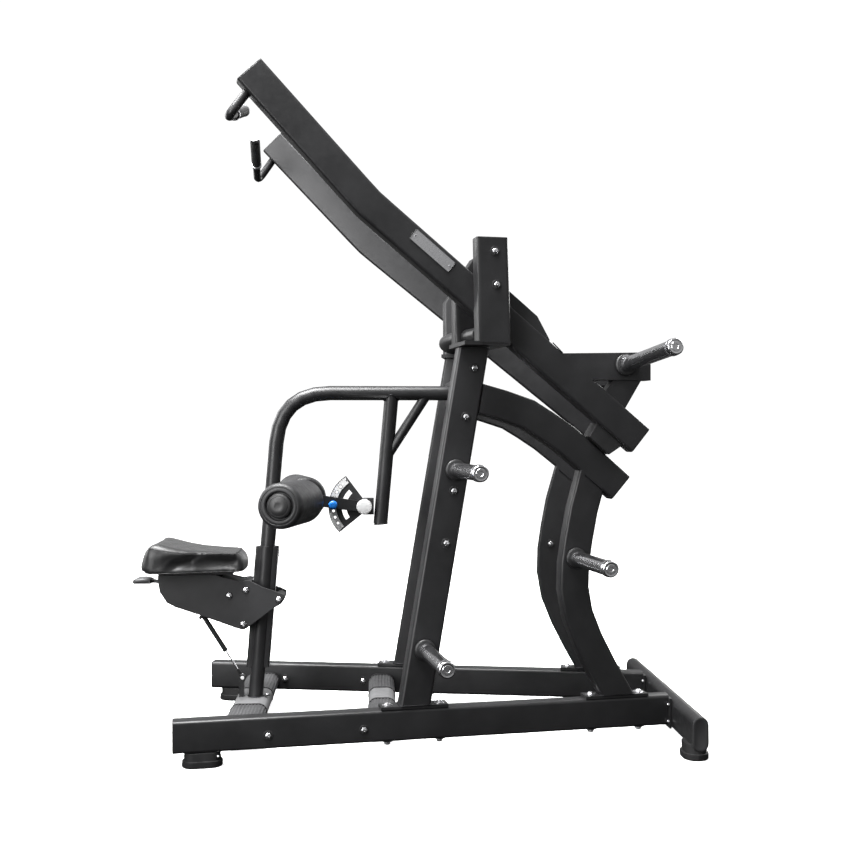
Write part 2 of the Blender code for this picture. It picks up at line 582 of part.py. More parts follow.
def roller_arm():
    pivot = (0.0, ADJ_Y, ADJ_Z)
    xo, yo = ROLLER_OUT
    strip = (
        (ROLLER_MID_Y - 0.018, ROLLER_Z - 0.016), (ADJ_Y - 0.010, ADJ_Z - 0.0185), (ADJ_Y + 0.010, ADJ_Z - 0.0185), (ADJ_Y + 0.0195, ADJ_Z),
        (ADJ_Y + 0.010, ADJ_Z + 0.0185), (ADJ_Y - 0.012, ADJ_Z + 0.0185), (ROLLER_MID_Y + 0.040, ROLLER_Z + 0.016), (ROLLER_MID_Y - 0.018, ROLLER_Z + 0.016),
    )
    plate = in_x("roller_arm", strip, 0.0275, 0.0355, "black_powder")
    axle = pipe("axle", ((-xo, yo, ROLLER_Z), (0.0, ROLLER_MID_Y, ROLLER_Z), (xo, yo, ROLLER_Z)), 0.0120, 12, across=(0, 0, 1))
    hub = box("hub", -0.030, 0.030, ROLLER_MID_Y - 0.016, ROLLER_MID_Y + 0.018, ROLLER_Z - 0.0155, ROLLER_Z + 0.0155)
    a = math.radians(PIN_REST)
    pin_y, pin_z = ADJ_Y + PIN_R * math.cos(a), ADJ_Z + PIN_R * math.sin(a)
    barrel = turned("barrel", (0.033, pin_y, pin_z), (1, 0, 0), ((0, 0.0115), (0.0155, 0.0115)), 12)
    bore = turned("bore", (-0.1, ADJ_Y, ADJ_Z), (1, 0, 0), ((0, 0.0105), (0.3, 0.0105)), 14)
    pin_bore = turned("bore", (0.0, pin_y, pin_z), (1, 0, 0), ((0, 0.0046), (0.2, 0.0046)), 8)
    arm = cut(joined(plate, axle, hub, barrel), bore, pin_bore)
    at_joint(arm, pivot)
    pin = turned("pop_pin", (0.0200, pin_y, pin_z), (1, 0, 0), ((0, 0.0030), (0.002, 0.0041), (0.0292, 0.0041), (0.0293, 0.0120), (0.0315, 0.0140), (0.0480, 0.0140), (0.0510, 0.0110)), 12, "blue")
    at_joint(pin, (0.0200, pin_y, pin_z))
    for s in (1, -1):
        along = Vector((s * xo, yo - ROLLER_MID_Y, 0)).normalized()
        outer = Vector((s * xo, yo, ROLLER_Z))
        length = 0.285
        start = outer + along * 0.004 - along * length
        profile = ((0.0, 0.0126), (0.0, 0.060), (0.004, 0.0690), (0.012, ROLLER_R), (length - 0.014, ROLLER_R), (length - 0.004, 0.0690), (length, 0.0600), (length, 0.0440), (length - 0.010, 0.0430), (length - 0.010, 0.0126))
        roller = turned("foam_roller_" + sign_name(s), start, along, profile, 24, "foam", bored=True)
        at_joint(roller, start)
        cap = turned("roller_cap_" + sign_name(s), outer + along * (GAP), along, ((0, 0.0360), (0.003, 0.0385), (0.007, 0.0360), (0.0105, 0.0260), (0.0120, 0.0120)), 18, "plastic")
        at_joint(cap, pivot)


# ---------------------------------------------------------------- seat
def seat():
    base = (0.0, POST_Y0, 0.455)
    outline = (
        (-0.851, 0.5380), (-0.851, 0.5150), (-0.845, 0.4810), (-0.821, 0.4440), (-0.794, 0.4300), (-0.700, 0.3980), (-0.589, 0.3570),
        (-0.565, 0.3500), (-0.552, 0.3560), (-0.515, 0.3830), (-0.467, 0.4200), (-0.437, 0.4370), (-0.427, 0.4510), (-0.427, 0.4680),
        (-0.447, 0.4780), (-0.501, 0.4960), (-0.538, 0.5160), (-0.555, 0.5180), (-0.575, 0.5150), (-0.630, 0.5290), (-0.660, 0.5380),
    )
    made = []
    for s in (1, -1):
        made.append(in_x("seat_side_plate_" + sign_name(s), outline, s * 0.0560, s * 0.0620, "black_powder"))
    made.append(box("seat_plate", -0.0630, 0.0630, -0.850, -0.600, 0.5384, 0.5464, "black_powder"))
    for name, z, front in (("slide_guide_upper_front", 0.486, True), ("slide_guide_rear", 0.453, False), ("slide_guide_lower_front", 0.370, True)):
        y = post_y(z) + (-1 if front else 1) * (POST_D / 2 * 1.0031 + 0.0170 + 0.0006)
        made.append(turned(name, (-0.0556, y, z), (1, 0, 0), ((0, 0.0090), (0.0080, 0.0090), (0.0081, 0.0170), (0.1031, 0.0170), (0.1032, 0.0090), (0.1112, 0.0090)), 14, "plastic"))
    rings = []
    for z, grow in ((0.5472, -0.010), (0.5560, 0.0), (0.5900, 0.004), (0.6150, 0.0)):
        ring = []
        for x, y in seat_plan(grow):
            ring.append(Vector((x, y, z)))
        rings.append(ring)
    for lift, grow in ((0.62, -0.010), (1.0, -0.034)):
        rings.append([Vector((x, y, 0.6150 + lift * seat_rise(y))) for x, y in seat_plan(grow)])
    made.append(loft("seat_cushion", rings, "leather"))
    for obj in made:
        at_joint(obj, base)
    lever = loft("release_lever", [
        [Vector((x, -0.9440, z)) for x, z in ((-0.024, 0.5085), (0.024, 0.5085), (0.024, 0.5150), (-0.024, 0.5150))],
        [Vector((x, -0.9380, z)) for x, z in ((-0.032, 0.5045), (0.032, 0.5045), (0.032, 0.5190), (-0.032, 0.5190))],
        [Vector((x, -0.8840, z)) for x, z in ((-0.030, 0.5045), (0.030, 0.5045), (0.030, 0.5190), (-0.030, 0.5190))],
        [Vector((x, -0.8760, z)) for x, z in ((-0.010, 0.5060), (0.010, 0.5060), (0.010, 0.5160), (-0.010, 0.5160))],
        [Vector((x, -0.8300, z)) for x, z in ((-0.010, 0.5000), (0.010, 0.5000), (0.010, 0.5100), (-0.010, 0.5100))],
        [Vector((x, -0.8050, z)) for x, z in ((-0.010, 0.4940), (0.010, 0.4940), (0.010, 0.5080), (-0.010, 0.5080))],
    ], "plastic")
    lever_pin = turned("pin", (-0.0555, -0.8170, 0.5020), (1, 0, 0), ((0, 0.0060), (0.111, 0.0060)), 10)
    joined(lever, lever_pin)
    at_joint(lever, (0.0, -0.8170, 0.5020))


def seat_plan(grow):
    """Plan outline of the cushion: broad at the back, narrower where the thighs go."""
    half = ((-0.8960, 0.095), (-0.8920, 0.128), (-0.8720, 0.152), (-0.8300, 0.160), (-0.7700, 0.150), (-0.6900, 0.122), (-0.6200, 0.108), (-0.5800, 0.104), (-0.5620, 0.090), (-0.5560, 0.060))
    cy = -0.723
    pts = []
    for y, x in half:
        k = 1 + grow / 0.17
        pts.append((x + grow * 0.9, cy + (y - cy) * k))
    return pts + [(-x, y) for x, y in reversed(pts)]


def seat_rise(y):
    t = min(1.0, max(0.0, (y + 0.896) / 0.346))
    return 0.046 - 0.029 * min(1.0, t * 2.6) - 0.016 * max(0.0, t - 0.35) / 0.65


GAS_TOP = Vector((0.0, -0.7090, 0.3920))
GAS_LOW = Vector((0.0, -0.5720, 0.1770))


def gas_spring():
    along = (GAS_LOW - GAS_TOP).normalized()
    span = (GAS_LOW - GAS_TOP).length
    tube = turned("gas_spring_cylinder", GAS_TOP, along, ((0.004, 0.0040), (0.0041, 0.0085), (0.146, 0.0085), (0.148, 0.0070), (0.148, 0.0036), (0.020, 0.0036)), 12, "plastic")
    # The bore is a blind hole, so the outline folds back inside and closes on the inner end.
    pin = turned("pin", (-0.0555, GAS_TOP.y, GAS_TOP.z), (1, 0, 0), ((0, 0.0060), (0.111, 0.0060)), 10)
    joined(tube, pin)
    at_joint(tube, GAS_TOP)
    rod = turned("gas_spring_rod", GAS_TOP, along, ((0.045, 0.0030), (span - 0.012, 0.0030), (span - 0.0119, 0.0065), (span - 0.004, 0.0065)), 10, "chrome")
    at_joint(rod, GAS_TOP)


def main():
    rear_member()
    front = cross_bar("front_cross_member", FRONT_BAR_Y, 0.120, 0.0560, 0.1100)
    lug = box("lug", -0.012, 0.012, GAS_LOW.y - 0.012, GAS_LOW.y + 0.0038, 0.094, GAS_LOW.z - 0.0135)
    joined(front, lug)
    cross_bar("foot_rest_bar", FOOT_BAR_Y, 0.090, 0.0600, 0.1160)
    feet()
    _, y_front = cross_tube()
    top_bar("top_cross_bar", BAR_R, "black_powder")
    for s in (1, -1):
        base_rail(s)
        upright(s)
        rear_frame(s)
        pivot_bracket(s)
        pivot_shaft(s)
        storage_horn("storage_horn_upper_" + sign_name(s), s, upright_u(0.902) + 0.004, 0.902)
        storage_horn("storage_horn_lower_" + sign_name(s), s, upright_u(0.331), 0.331)
        storage_horn("storage_horn_rear_" + sign_name(s), s, 1.286, 0.611)
        bumper(s)
        lever_arm(s)
        pivot_bearing(s)
        handle(s)
        loading_horn(s)
        badge(s)
    hold_down(y_front)
    adjuster()
    roller_arm()
    seat()
    gas_spring()
    for obj in parts.objects:
        obj.location.y += CENTRE_Y
        if obj.name.startswith(("foam_", "storage_", "loading_", "hand_", "arm_handle", "top_cross", "hold_", "pivot_shaft", "pivot_bearing", "foot_", "roller_cap", "gas_", "pop_")):
            obj.data.polygons.foreach_set("use_smooth", [True] * len(obj.data.polygons))
            obj.data.set_sharp_from_angle(angle=math.radians(35))


main()
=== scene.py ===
"""Looks for the plate-loaded lat pulldown machine: materials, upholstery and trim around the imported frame."""

import math

import bmesh
import bpy
import numpy as np
from mathutils import Matrix, Vector, noise
from mathutils.bvhtree import BVHTree


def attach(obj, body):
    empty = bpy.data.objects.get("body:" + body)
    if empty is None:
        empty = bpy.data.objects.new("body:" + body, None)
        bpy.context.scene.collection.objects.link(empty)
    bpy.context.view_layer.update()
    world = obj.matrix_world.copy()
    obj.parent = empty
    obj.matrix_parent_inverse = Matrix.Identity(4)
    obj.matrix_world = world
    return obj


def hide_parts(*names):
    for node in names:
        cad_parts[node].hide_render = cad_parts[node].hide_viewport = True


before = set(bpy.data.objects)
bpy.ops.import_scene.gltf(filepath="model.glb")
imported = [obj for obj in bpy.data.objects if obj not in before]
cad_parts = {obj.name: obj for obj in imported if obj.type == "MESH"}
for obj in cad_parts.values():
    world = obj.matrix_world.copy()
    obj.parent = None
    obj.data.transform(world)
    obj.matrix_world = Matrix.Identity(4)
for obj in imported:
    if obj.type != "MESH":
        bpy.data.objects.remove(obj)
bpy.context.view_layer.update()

for stray in ("Cube", "Light", "Camera"):
    if stray in bpy.data.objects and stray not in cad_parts:
        bpy.data.objects.remove(bpy.data.objects[stray], do_unlink=True)

# ---------------------------------------------------------------- sizes shared with the frame
CY = 0.00775
SPLAY = math.radians(9.6)
SIN, COS = math.sin(SPLAY), math.cos(SPLAY)
RAIL_X, RAIL_Y = 0.4755, -0.7278
RAIL_Z0, RAIL_Z1 = 0.0455, 0.1455
TUBE_W, TUBE_H, TUBE_R = 0.058, 0.100, 0.010
ARM_V0, ARM_V1 = -0.026, 0.032
ARM_PATH = ((0.2275, 2.1305), (0.560, 1.7777), (0.597, 1.7395), (0.637, 1.7060), (1.499, 0.9966))
BEAM_END = ((1.335, 0.9330), (1.4425, 0.8405))
PIVOT_U, PIVOT_Z = 0.985, 1.540
ADJ = Vector((0.0, -0.1530 + CY, 0.7660))
REAR_Y, REAR_HALF = 0.8955 + CY, 0.460


def side(s, u, v, z):
    return Vector((s * (RAIL_X - SIN * u + COS * v), RAIL_Y + COS * u + SIN * v + CY, z))


def outward(s):
    return side(s, 0, 1, 0) - side(s, 0, 0, 0)


def upright_u(z):
    return 0.75 + 0.1691 * (z - 0.152)


def hand(s):
    return "right" if s > 0 else "left"


# ---------------------------------------------------------------- materials
def material(name, base, rough, metal=0.0):
    mat = bpy.data.materials.new(name)
    mat.use_nodes = True
    tree = mat.node_tree
    shader = tree.nodes["Principled BSDF"]
    shader.inputs["Base Color"].default_value = (*base, 1)
    shader.inputs["Roughness"].default_value = rough
    shader.inputs["Metallic"].default_value = metal
    coords = tree.nodes.new("ShaderNodeTexCoord")
    return mat, tree, shader, coords.outputs["Object"]


def noise_node(tree, coords, scale, detail=3.0, rough=0.5, stretch=None):
    if stretch:
        mapping = tree.nodes.new("ShaderNodeMapping")
        mapping.inputs["Scale"].default_value = stretch
        tree.links.new(coords, mapping.inputs["Vector"])
        coords = mapping.outputs["Vector"]
    node = tree.nodes.new("ShaderNodeTexNoise")
    node.inputs["Scale"].default_value = scale
    node.inputs["Detail"].default_value = detail
    node.inputs["Roughness"].default_value = rough
    tree.links.new(coords, node.inputs["Vector"])
    return node.outputs["Fac"]


def remap(tree, value, low, high, a=0.3, b=0.7):
    node = tree.nodes.new("ShaderNodeMapRange")
    node.inputs["From Min"].default_value = a
    node.inputs["From Max"].default_value = b
    node.inputs["To Min"].default_value = low
    node.inputs["To Max"].default_value = high
    tree.links.new(value, node.inputs["Value"])
    return node.outputs["Result"]


def tint(tree, shader, value, dark, light, a=0.35, b=0.65):
    ramp = tree.nodes.new("ShaderNodeValToRGB")
    ramp.color_ramp.elements[0].position, ramp.color_ramp.elements[1].position = a, b
    ramp.color_ramp.elements[0].color = (*dark, 1)
    ramp.color_ramp.elements[1].color = (*light, 1)
    tree.links.new(value, ramp.inputs["Fac"])
    tree.links.new(ramp.outputs["Color"], shader.inputs["Base Color"])
    return ramp


def bump(tree, shader, value, strength, distance, before=None):
    node = tree.nodes.new("ShaderNodeBump")
    node.inputs["Strength"].default_value = strength
    node.inputs["Distance"].default_value = distance
    tree.links.new(value, node.inputs["Height"])
    if before:
        tree.links.new(before, node.inputs["Normal"])
    tree.links.new(node.outputs["Normal"], shader.inputs["Normal"])
    return node.outputs["Normal"]


def powder(name, base, rough=0.40, grain=0.10):
    """Satin powder coat: a fine orange peel, with faint clouding of colour and gloss."""
    mat, tree, shader, at = material(name, base, rough)
    cloud = noise_node(tree, at, 7.0, 4.0)
    tint(tree, shader, cloud, [c * 0.82 for c in base], [c * 1.22 for c in base])
    tree.links.new(remap(tree, noise_node(tree, at, 46.0, 5.0, 0.6), rough - 0.055, rough + 0.06), shader.inputs["Roughness"])
    first = bump(tree, shader, noise_node(tree, at, 420.0, 2.0), grain, 0.0006)
    bump(tree, shader, noise_node(tree, at, 1300.0, 1.0), grain * 0.8, 0.0003, first)
    shader.inputs["Specular IOR Level"].default_value = 0.42
    return mat


def metal(name, base, rough, brush=None, strength=0.12):
    mat, tree, shader, at = material(name, base, rough, 1.0)
    fine = noise_node(tree, at, 60.0 if brush else 22.0, 4.0, 0.6, brush)
    tint(tree, shader, fine, [c * 0.86 for c in base], [min(1.0, c * 1.08) for c in base])
    tree.links.new(remap(tree, fine, rough * 0.7, rough * 1.5), shader.inputs["Roughness"])
    bump(tree, shader, fine, strength, 0.0003)
    return mat


def rubber(name, base, rough, pebble=520.0, strength=0.22, spec=0.35):
    mat, tree, shader, at = material(name, base, rough)
    tint(tree, shader, noise_node(tree, at, 14.0, 4.0), [c * 0.75 for c in base], [c * 1.35 for c in base])
    tree.links.new(remap(tree, noise_node(tree, at, 60.0, 4.0), rough - 0.07, rough + 0.07), shader.inputs["Roughness"])
    bump(tree, shader, noise_node(tree, at, pebble, 3.0, 0.6), strength, 0.0006)
    shader.inputs["Specular IOR Level"].default_value = spec
    return mat


def leather(name, base, rough):
    """Grained vinyl: small cells with a crease between them, the creases darkened with painted shade, and a soft sheen.
    """
    mat, tree, shader, at = material(name, base, rough)
    cells = tree.nodes.new("ShaderNodeTexVoronoi")
    cells.feature = "DISTANCE_TO_EDGE"
    cells.inputs["Scale"].default_value = 430.0
    tree.links.new(at, cells.inputs["Vector"])
    crease = remap(tree, cells.outputs["Distance"], 0.0, 1.0, 0.0, 0.16)
    # painted shade: the colour darkens into the grain creases, following the same mask as the bump
    tint(tree, shader, crease, [c * 0.6 for c in base], [c * 1.1 for c in base], 0.0, 0.7)
    tree.links.new(remap(tree, noise_node(tree, at, 30.0, 4.0), rough - 0.06, rough + 0.07), shader.inputs["Roughness"])
    first = bump(tree, shader, crease, 0.22, 0.0005)
    bump(tree, shader, noise_node(tree, at, 38.0, 3.0), 0.10, 0.003, first)
    shader.inputs["Sheen Weight"].default_value = 0.12
    shader.inputs["Specular IOR Level"].default_value = 0.45
    return mat


def plastic(name, base, rough, strength=0.08):
    mat, tree, shader, at = material(name, base, rough)
    tint(tree, shader, noise_node(tree, at, 18.0, 3.0), [c * 0.9 for c in base], [min(1.0, c * 1.1) for c in base])
    tree.links.new(remap(tree, noise_node(tree, at, 80.0, 4.0), rough - 0.04, rough + 0.05), shader.inputs["Roughness"])
    bump(tree, shader, noise_node(tree, at, 700.0, 2.0), strength, 0.0004)
    return mat


BLACK = powder("powder_black", (0.0150, 0.0150, 0.0158), 0.38)
SOFT_BLACK = powder("powder_black_plates", (0.0220, 0.0220, 0.0232), 0.46)
GREY = powder("powder_grey_sleeve", (0.160, 0.160, 0.164), 0.38, 0.08)
RIBBED = powder("powder_ribbed_sleeve", (0.055, 0.055, 0.057), 0.34, 0.08)
CHROME = metal("chrome_horn", (0.78, 0.78, 0.80), 0.17, (3.0, 3.0, 3.0), 0.03)
STEEL = metal("zinc_bolt", (0.80, 0.80, 0.82), 0.24)
SHAFT = metal("turned_steel", (0.56, 0.56, 0.58), 0.30)
ALUMINIUM = metal("brushed_aluminium", (0.74, 0.74, 0.76), 0.30, (1.0, 14.0, 14.0), 0.14)
RUBBER = rubber("rubber_moulded", (0.0130, 0.0130, 0.0135), 0.62)
GRIP = rubber("rubber_grip", (0.0300, 0.0300, 0.0310), 0.60, 900.0, 0.35)
FOAM = rubber("foam_skin", (0.0160, 0.0160, 0.0170), 0.50, 1100.0, 0.16, 0.45)
VINYL = leather("vinyl_seat", (0.0070, 0.0070, 0.0074), 0.36)
THREAD = rubber("thread_seam", (0.0260, 0.0260, 0.0270), 0.55, 2600.0, 0.5)
MOULDED = plastic("plastic_black", (0.0140, 0.0140, 0.0145), 0.42)
CAP = plastic("plastic_end_cap", (0.0230, 0.0230, 0.0240), 0.50)
LEVER = plastic("plastic_lever", (0.0600, 0.0600, 0.0620), 0.46)
WHITE = plastic("plastic_white", (0.66, 0.66, 0.66), 0.40)
BLUE = plastic("plastic_blue_knob", (0.010, 0.170, 0.620), 0.30)
WELD = metal("weld_bead_painted", (0.030, 0.030, 0.032), 0.45)
GLIDE = metal("slide_strip", (0.62, 0.62, 0.63), 0.34, (18.0, 18.0, 1.0), 0.10)

NODE_MATERIAL = (
    (("storage_horn", "loading_horn", "gas_spring_rod"), CHROME),
    (("pivot_shaft", "pivot_bearing", "adjuster_bolt"), SHAFT),
    (("foot_front", "foot_rear", "stop_bumper"), RUBBER),
    (("hand_grip",), GRIP),
    (("foam_roller",), FOAM),
    (("seat_cushion",), VINYL),
    (("roller_cap", "slide_guide", "gas_spring_cylinder"), MOULDED),
    (("release_lever",), LEVER),
    (("scale_band",), WHITE),
    (("arm_badge",), ALUMINIUM),
    (("pop_pin",), BLUE),
    (("seat_side_plate", "seat_plate", "sector_plate"), SOFT_BLACK),
)


def dress(name, obj):
    """Gives a frame node its finish, and rounds its sharp edges a little with modifiers."""
    chosen = next((m for keys, m in NODE_MATERIAL if name.startswith(keys)), BLACK)
    if obj.data.materials:
        for i in range(len(obj.data.materials)):
            obj.data.materials[i] = chosen
    else:
        obj.data.materials.append(chosen)
    for key in ("custom_normal", "sharp_edge", "sharp_face"):
        if key in obj.data.attributes:
            obj.data.attributes.remove(obj.data.attributes[key])
    obj.data.polygons.foreach_set("use_smooth", [True] * len(obj.data.polygons))
    weld = obj.modifiers.new("weld", "WELD")
    weld.merge_threshold = 0.00002
    edge = obj.modifiers.new("edge", "BEVEL")
    edge.width, edge.segments = 0.0011, 2
    edge.limit_method, edge.angle_limit = "ANGLE", math.radians(52)
    edge.harden_normals = False
    flat = obj.modifiers.new("flat", "WEIGHTED_NORMAL")
    flat.mode, flat.weight, flat.keep_sharp = "FACE_AREA", 50, True


for node_name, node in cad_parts.items():
    dress(node_name, node)


# ---------------------------------------------------------------- building blocks
def frame_of(axis):
    a = Vector(axis).normalized()
    x = a.cross(Vector((0, 0, 1)))
    if x.length < 0.1:
        x = a.cross(Vector((0, 1, 0)))
    x.normalize()
    return a, x, a.cross(x)


def rounded(w, h, r, n=6):
    out = []
    for cx, cy, start in ((1, 1, 0), (-1, 1, 90), (-1, -1, 180), (1, -1, 270)):
        for i in range(n):
            a = math.radians(start + 90 * i / (n - 1))
            out.append((cx * (w / 2 - r) + r * math.cos(a), cy * (h / 2 - r) + r * math.sin(a)))
    return out


class Piece:
    """Gathers closed shells into one mesh piece that rides on one body."""

    def __init__(self, name, body):
        self.name, self.body = name, body
        self.points, self.faces, self.kinds, self.mats = [], [], [], []

    def add(self, points, faces, mat):
        if mat not in self.mats:
            self.mats.append(mat)
        base, kind = len(self.points), self.mats.index(mat)
        self.points += [tuple(p) for p in points]
        for face in faces:
            self.faces.append([base + i for i in face])
            self.kinds.append(kind)

    def skin(self, rings, mat, caps=True, loop=False):
        n, count = len(rings[0]), len(rings)
        faces = []
        for j in range(count if loop else count - 1):
            k = (j + 1) % count
            for i in range(n):
                h = (i + 1) % n
                faces.append((j * n + i, j * n + h, k * n + h, k * n + i))
        if caps and not loop:
            faces.append(tuple(reversed(range(n))))
            faces.append(tuple(range((count - 1) * n, count * n)))
        self.add([p for ring in rings for p in ring], faces, mat)

    def lathe(self, at, axis, profile, mat, n=32, loop=False, ripple=None):
        a, x, y = frame_of(axis)
        at = Vector(at)
        rings = []
        for t, r in profile:
            ring = []
            for i in range(n):
                q = math.tau * i / n
                k = r * (1 + (ripple(q) if ripple else 0))
                ring.append(at + a * t + x * (k * math.cos(q)) + y * (k * math.sin(q)))
            rings.append(ring)
        self.skin(rings, mat, loop=loop)

    def tube(self, path, r, mat, n=8, loop=False):
        path = [Vector(p) for p in path]
        count, rings, last = len(path), [], None
        for i, p in enumerate(path):
            before = path[i - 1] if i or loop else p
            after = path[(i + 1) % count] if i < count - 1 or loop else p
            run = (after - before).normalized()
            across = last - run * last.dot(run) if last else frame_of(run)[1]
            across.normalize()
            last = across
            other = run.cross(across)
            radius = r(i) if callable(r) else r
            rings.append([p + across * (radius * math.cos(math.tau * k / n)) + other * (radius * math.sin(math.tau * k / n)) for k in range(n)])
        self.skin(rings, mat, loop=loop)

    def done(self, angle=38, bevel=0.0, declare=True):
        mesh = bpy.data.meshes.new(self.name)
        mesh.from_pydata(self.points, [], self.faces)
        for mat in self.mats:
            mesh.materials.append(mat)
        mesh.polygons.foreach_set("material_index", self.kinds)
        work = bmesh.new()
        work.from_mesh(mesh)
        bmesh.ops.recalc_face_normals(work, faces=work.faces)
        work.to_mesh(mesh)
        work.free()
        mesh.polygons.foreach_set("use_smooth", [True] * len(mesh.polygons))
        mesh.set_sharp_from_angle(angle=math.radians(angle))
        obj = bpy.data.objects.new(self.name, mesh)
        bpy.context.scene.collection.objects.link(obj)
        if bevel:
            edge = obj.modifiers.new("edge", "BEVEL")
            edge.width, edge.segments, edge.limit_method = bevel, 2, "ANGLE"
            edge.angle_limit = math.radians(40)
        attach(obj, self.body)
        return obj


def screw(piece, at, normal, r=0.0102, ring=0.0158):
    """Domed hex head on a dark seating ring: a washer whose dark matte rubber also paints the soft shadow round the
    head.
    """
    n = Vector(normal).normalized()
    at = Vector(at) - n * 0.0006
    # the dark ring is a washer and also painted shade standing in for the soft shadow round the head
    if ring:
        piece.lathe(at, n, ((0, ring), (0.0014, ring), (0.0021, ring - 0.0008), (0.0021, r + 0.0022), (0.0012, r + 0.0014)), RUBBER, 30)
    piece.lathe(at, n, ((0.0010, r), (0.0046, r), (0.0054, r * 0.93)), STEEL, 6)
    piece.lathe(at, n, ((0.0046, r * 0.85), (0.0060, r * 0.80), (0.0074, r * 0.58), (0.0081, r * 0.26), (0.0076, r * 0.18), (0.0074, 0.0002)), STEEL, 24)


def nut(piece, at, normal, r=0.0112, flange=0.0195, stub=0.0150):
    """Hex nut with its washer and the threaded end of the bolt."""
    n = Vector(normal).normalized()
    at = Vector(at) - n * 0.0005
    piece.lathe(at, n, ((0, flange), (0.0030, flange), (0.0038, flange - 0.0010)), RUBBER, 28)
    piece.lathe(at, n, ((0.0030, r * 1.22), (0.0048, r * 1.22), (0.0050, r * 1.15)), STEEL, 26)
    piece.lathe(at, n, ((0.0048, r), (0.0125, r), (0.0134, r * 0.92)), STEEL, 6)
    threads = [(0.0120, 0.0058)]
    t = 0.0125
    while t < stub:
        threads += [(t, 0.0062), (t + 0.0006, 0.0056)]
        t += 0.0012
    piece.lathe(at, n, tuple(threads), STEEL, 18)


def end_cap(piece, centre, normal, up, w, h, r, mat=None, thick=0.0032):
    """Plastic plug in a tube's end, with a softened rim and a shallow dish. w is across, h along up."""
    n, up = Vector(normal).normalized(), Vector(up).normalized()
    across = n.cross(up).normalized()
    up = across.cross(n)
    rings = []
    for t, inset in ((-0.0010, 0.0022), (0.0004, 0.0012), (0.0006, 0.0004), (thick - 0.0010, 0.0008), (thick - 0.0003, 0.0018), (thick, 0.0040), (thick, 0.0090), (thick - 0.0008, 0.0110)):
        sec = rounded(w - 2 * inset, h - 2 * inset, max(0.0012, r - inset), 6)
        rings.append([Vector(centre) + n * t + across * a + up * b for a, b in sec])
    piece.skin(rings, mat or CAP)


def weld_bead(piece, path, r=0.0030, loop=True):
    """A bead laid in small overlapping puddles along a path."""
    path = [Vector(p) for p in path]
    fine = []
    count = len(path)
    for i in range(count if loop else count - 1):
        a, b = path[i], path[(i + 1) % count]
        steps = max(1, int((b - a).length / 0.0022))
        fine += [a + (b - a) * (k / steps) for k in range(steps)]
    if not loop:
        fine.append(path[-1])
    piece.tube(fine, lambda i: r * (0.86 + 0.14 * math.cos(math.tau * i / 3)), WELD, 7, loop)


